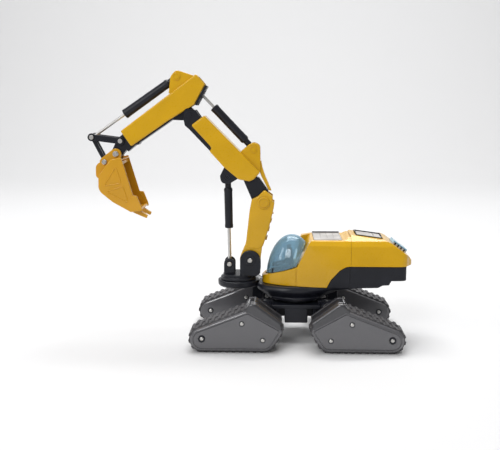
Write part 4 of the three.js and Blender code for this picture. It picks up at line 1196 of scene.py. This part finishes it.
# ---------- bucket linkage ----------
def rocker():
    """Two dished arms joined by their shafts."""
    arm = wrap([(*ROCKER_TIP, 1.9), (*ROCKER_PIVOT, 1.9)])
    dish = wrap([(*ROCKER_TIP, 1.0), (*ROCKER_PIVOT, 1.0)])
    arms = combine(together(*both_sides(arm, EAR_INNER, EAR_OUTER, 0.3)),
                   cuts=both_sides(dish, EAR_OUTER - 0.3, EAR_OUTER + 1, 0))
    bosses = [boss for at in (ROCKER_TIP, ROCKER_PIVOT)
              for boss in both_sides(ring(at, 2.4), EAR_INNER, EAR_OUTER, 0.2)]
    shafts = [bore(ROCKER_PIVOT, 1.1, EAR_OUTER), bore(ROCKER_TIP, 1, EAR_OUTER)]
    return combine(arms, bosses + shafts)


stand_in("bucket_rocker", rocker())
piece("rocker_pin_heads", together(*[
    head for at in (ROCKER_TIP, ROCKER_PIVOT)
    for head in both_sides(ring(at, 1.4), EAR_OUTER + 0.01, EAR_OUTER + 0.5, 0.2)]), "steel", "rocker")


def bucket_link():
    """Two slim rods with eyes at both ends and a web between them."""
    inner, outer = 1.3, 3.5
    slim = wrap([(*ROCKER_TIP, 1.1), (*LINK_PIVOT, 1.1)])
    eyes = [eye for at, radius in ((ROCKER_TIP, 2.1), (LINK_PIVOT, 2.4))
            for eye in both_sides(ring(at, radius), inner, outer, 0.3)]
    web = across(wrap([(-124.2, 121.2, 0.6), (-120.8, 114.8, 0.6)]), 2, 0)
    return combine(together(*both_sides(slim, inner, outer, 0.3)), [*eyes, web],
                   cuts=[bore(ROCKER_TIP, ROD_EYE_BORE), bore(LINK_PIVOT, 1.9)])


stand_in("bucket_link", bucket_link())


# ---------- bucket ----------
def ridge(corners):
    """Raised line round a closed outline, on both side plates."""
    width, height, shoulder = 1.1, 0.35, 0.45
    outline = rounded(corners)
    ridges = []
    for sy in (-1, 1):
        base, nearly, top = (sy * (BUCKET_HALF + n) for n in (-0.2, height - 0.06, height))
        steps = [(0, base), (0.3, nearly), (shoulder, top),
                 (width - shoulder, top), (width - 0.3, nearly), (width, base)]
        ridges.append(loft([[in_side_view(*p, w) for p in inset(outline, i)] for i, w in steps], closed=True))
    return ridges


def bucket():
    """Open scoop with ears for its pins, two teeth, side cutters and ribbed side plates."""
    tooth_half = 1.3
    side_view = rounded([
        (-106.8, 113.2), (-99.8, 89.4, 2), (-94.6, 81.2, 0.6), (-101.4, 79.8, 2), (-112.6, 86, 8),
        (-121.2, 93, 6), (-121, 102, 6), (-113.4, 112)])
    hollow = rounded([
        (-105.6, 109.6), (-101.4, 89.4), (-97, 82.4), (-101.6, 81), (-112, 87.2, 7), (-120, 93.8, 5),
        (-119.6, 101, 4), (-116.8, 105.7)])
    mouth = rounded([(-107.4, 111.2), (-101.4, 89.4), (-97, 82.4), (-85, 84), (-95, 118)])
    over_top = rounded([(-120.4, 106), (-106.8, 110.8), (-105, 122), (-124, 122)])
    shell = combine(across(side_view, BUCKET_HALF, 0.4), cuts=[
        across(shape, BUCKET_HALF - WALL, 0) for shape in (hollow, mouth, over_top)])
    ear = wrap([(-117, 107.2, 2), (-110.4, 109.6, 1.6), (*BUCKET_PIVOT, 3.4), (*LINK_PIVOT, 3)])
    hook = rounded([(-124.2, 100.2, 2.4), (-124, 108.6, 4), (-118, 111.4, 2), (-116, 104), (-119.8, 99.4)])
    lip = rounded([(-102.4, 79.9), (-98.2, 81.3), (-91.9, 77.3, 0.4), (-92.6, 75.5, 0.4), (-99.4, 78.4)])
    teeth = [prism(lip, y - tooth_half, y + tooth_half, 0.3) for y in (-7, 7)]
    cutter = rounded([
        (-101, 90.4), (-97.6, 90, 0.4), (-95, 83.4, 0.6), (-94.4, 80.8, 0.4), (-98.6, 80.6), (-102, 86)])
    cutters = both_sides(cutter, BUCKET_HALF - 0.7, BUCKET_HALF + CUTTER_PROUD, 0.25)
    upper_rib = [(-118.8, 95.2, 1.3), (-106.4, 97.4, 1.3), (-110.1, 109.2, 1.3)]
    lower_rib = [(-118.2, 92.6, 1.3), (-102.0, 84.4, 1.3), (-105.8, 96.4, 1.3)]
    ribs = ridge(upper_rib) + ridge(lower_rib)
    ears = both_sides(ear, EAR_INNER, EAR_OUTER, 0.3) + both_sides(hook, EAR_INNER, EAR_OUTER, 0.3)
    return combine(shell, [*ears, *teeth, *cutters, *ribs],
                   cuts=[bore(BUCKET_PIVOT, BUCKET_BORE), bore(LINK_PIVOT, LINK_BORE)])


stand_in("bucket", bucket())
stand_in("bucket_pin", pin(BUCKET_PIVOT, 1.3, 1.8, EAR_OUTER + GAP, 0.7))
stand_in("bucket_link_pin", pin(LINK_PIVOT, 0.9, 1.6, EAR_OUTER + GAP, 0.7))


# ---------- studio ----------
def studio():
    """White sweep: a floor that curves up into a backdrop."""
    start, bend, height, half_width = -2.0, 0.6, 3.0, 3
    foot = 0.9
    curve = [(foot + bend * math.sin(a), bend - bend * math.cos(a))
             for a in (math.radians(9 * i) for i in range(1, 11))]
    profile = [(start, 0), (foot, 0), *curve, (foot + bend, height)]
    sweep = bmesh.new()
    rows = [[sweep.verts.new((x, y, z)) for y, z in profile] for x in (-half_width, half_width)]
    for i in range(len(profile) - 1):
        sweep.faces.new((rows[0][i], rows[1][i], rows[1][i + 1], rows[0][i + 1]))
    floor = as_object("studio_sweep", sweep)
    floor.data.shade_smooth()
    floor.data.materials.append(new_material("studio_white", (0.68, 0.68, 0.685), 0.7))


def area_light(name, place, target, size, power):
    light = bpy.data.lights.new(name, "AREA")
    light.shape = "RECTANGLE"
    light.size, light.size_y = size
    light.energy = power
    lamp = bpy.data.objects.new(name, light)
    bpy.context.scene.collection.objects.link(lamp)
    lamp.location = place
    lamp.rotation_euler = (Vector(target) - Vector(place)).to_track_quat("-Z", "Y").to_euler()


def lights():
    """Soft boxes: place, target, size and power; and a faint even fill."""
    model, backdrop = (0, 0, 0.08), (0, 1.5, 0.45)
    area_light("overhead", (0.0, 0.2, 1.0), (0, 0, 0.05), (0.9, 0.7), 8.6)
    area_light("front", (-0.35, -0.9, 0.75), model, (0.5, 0.4), 5.0)
    area_light("left", (-0.8, -0.45, 0.6), model, (0.25, 0.5), 1.6)
    area_light("backdrop", (0.0, 0.6, 1.5), backdrop, (1.8, 0.4), 15.5)
    world = bpy.data.worlds.new("studio")
    world.use_nodes = True
    fill = world.node_tree.nodes["Background"]
    fill.inputs["Color"].default_value = (1, 1, 1, 1)
    fill.inputs["Strength"].default_value = 0.35
    bpy.context.scene.world = world


def camera():
    """Side view from a little above, turned slightly towards the bucket."""
    tilt_down, turn = math.radians(8.98), math.radians(1.99)
    eye = bpy.data.objects.new("camera", bpy.data.cameras.new("camera"))
    bpy.context.scene.collection.objects.link(eye)
    eye.location = (SLEW_X - 12.2 * MM, -0.480, 0.1463)
    eye.rotation_euler = (math.radians(90) - tilt_down, 0, turn)
    eye.data.sensor_width = 36
    eye.data.lens = 55.8
    bpy.context.scene.camera = eye
    bpy.context.scene.view_settings.view_transform = "Standard"


studio()
lights()
camera()
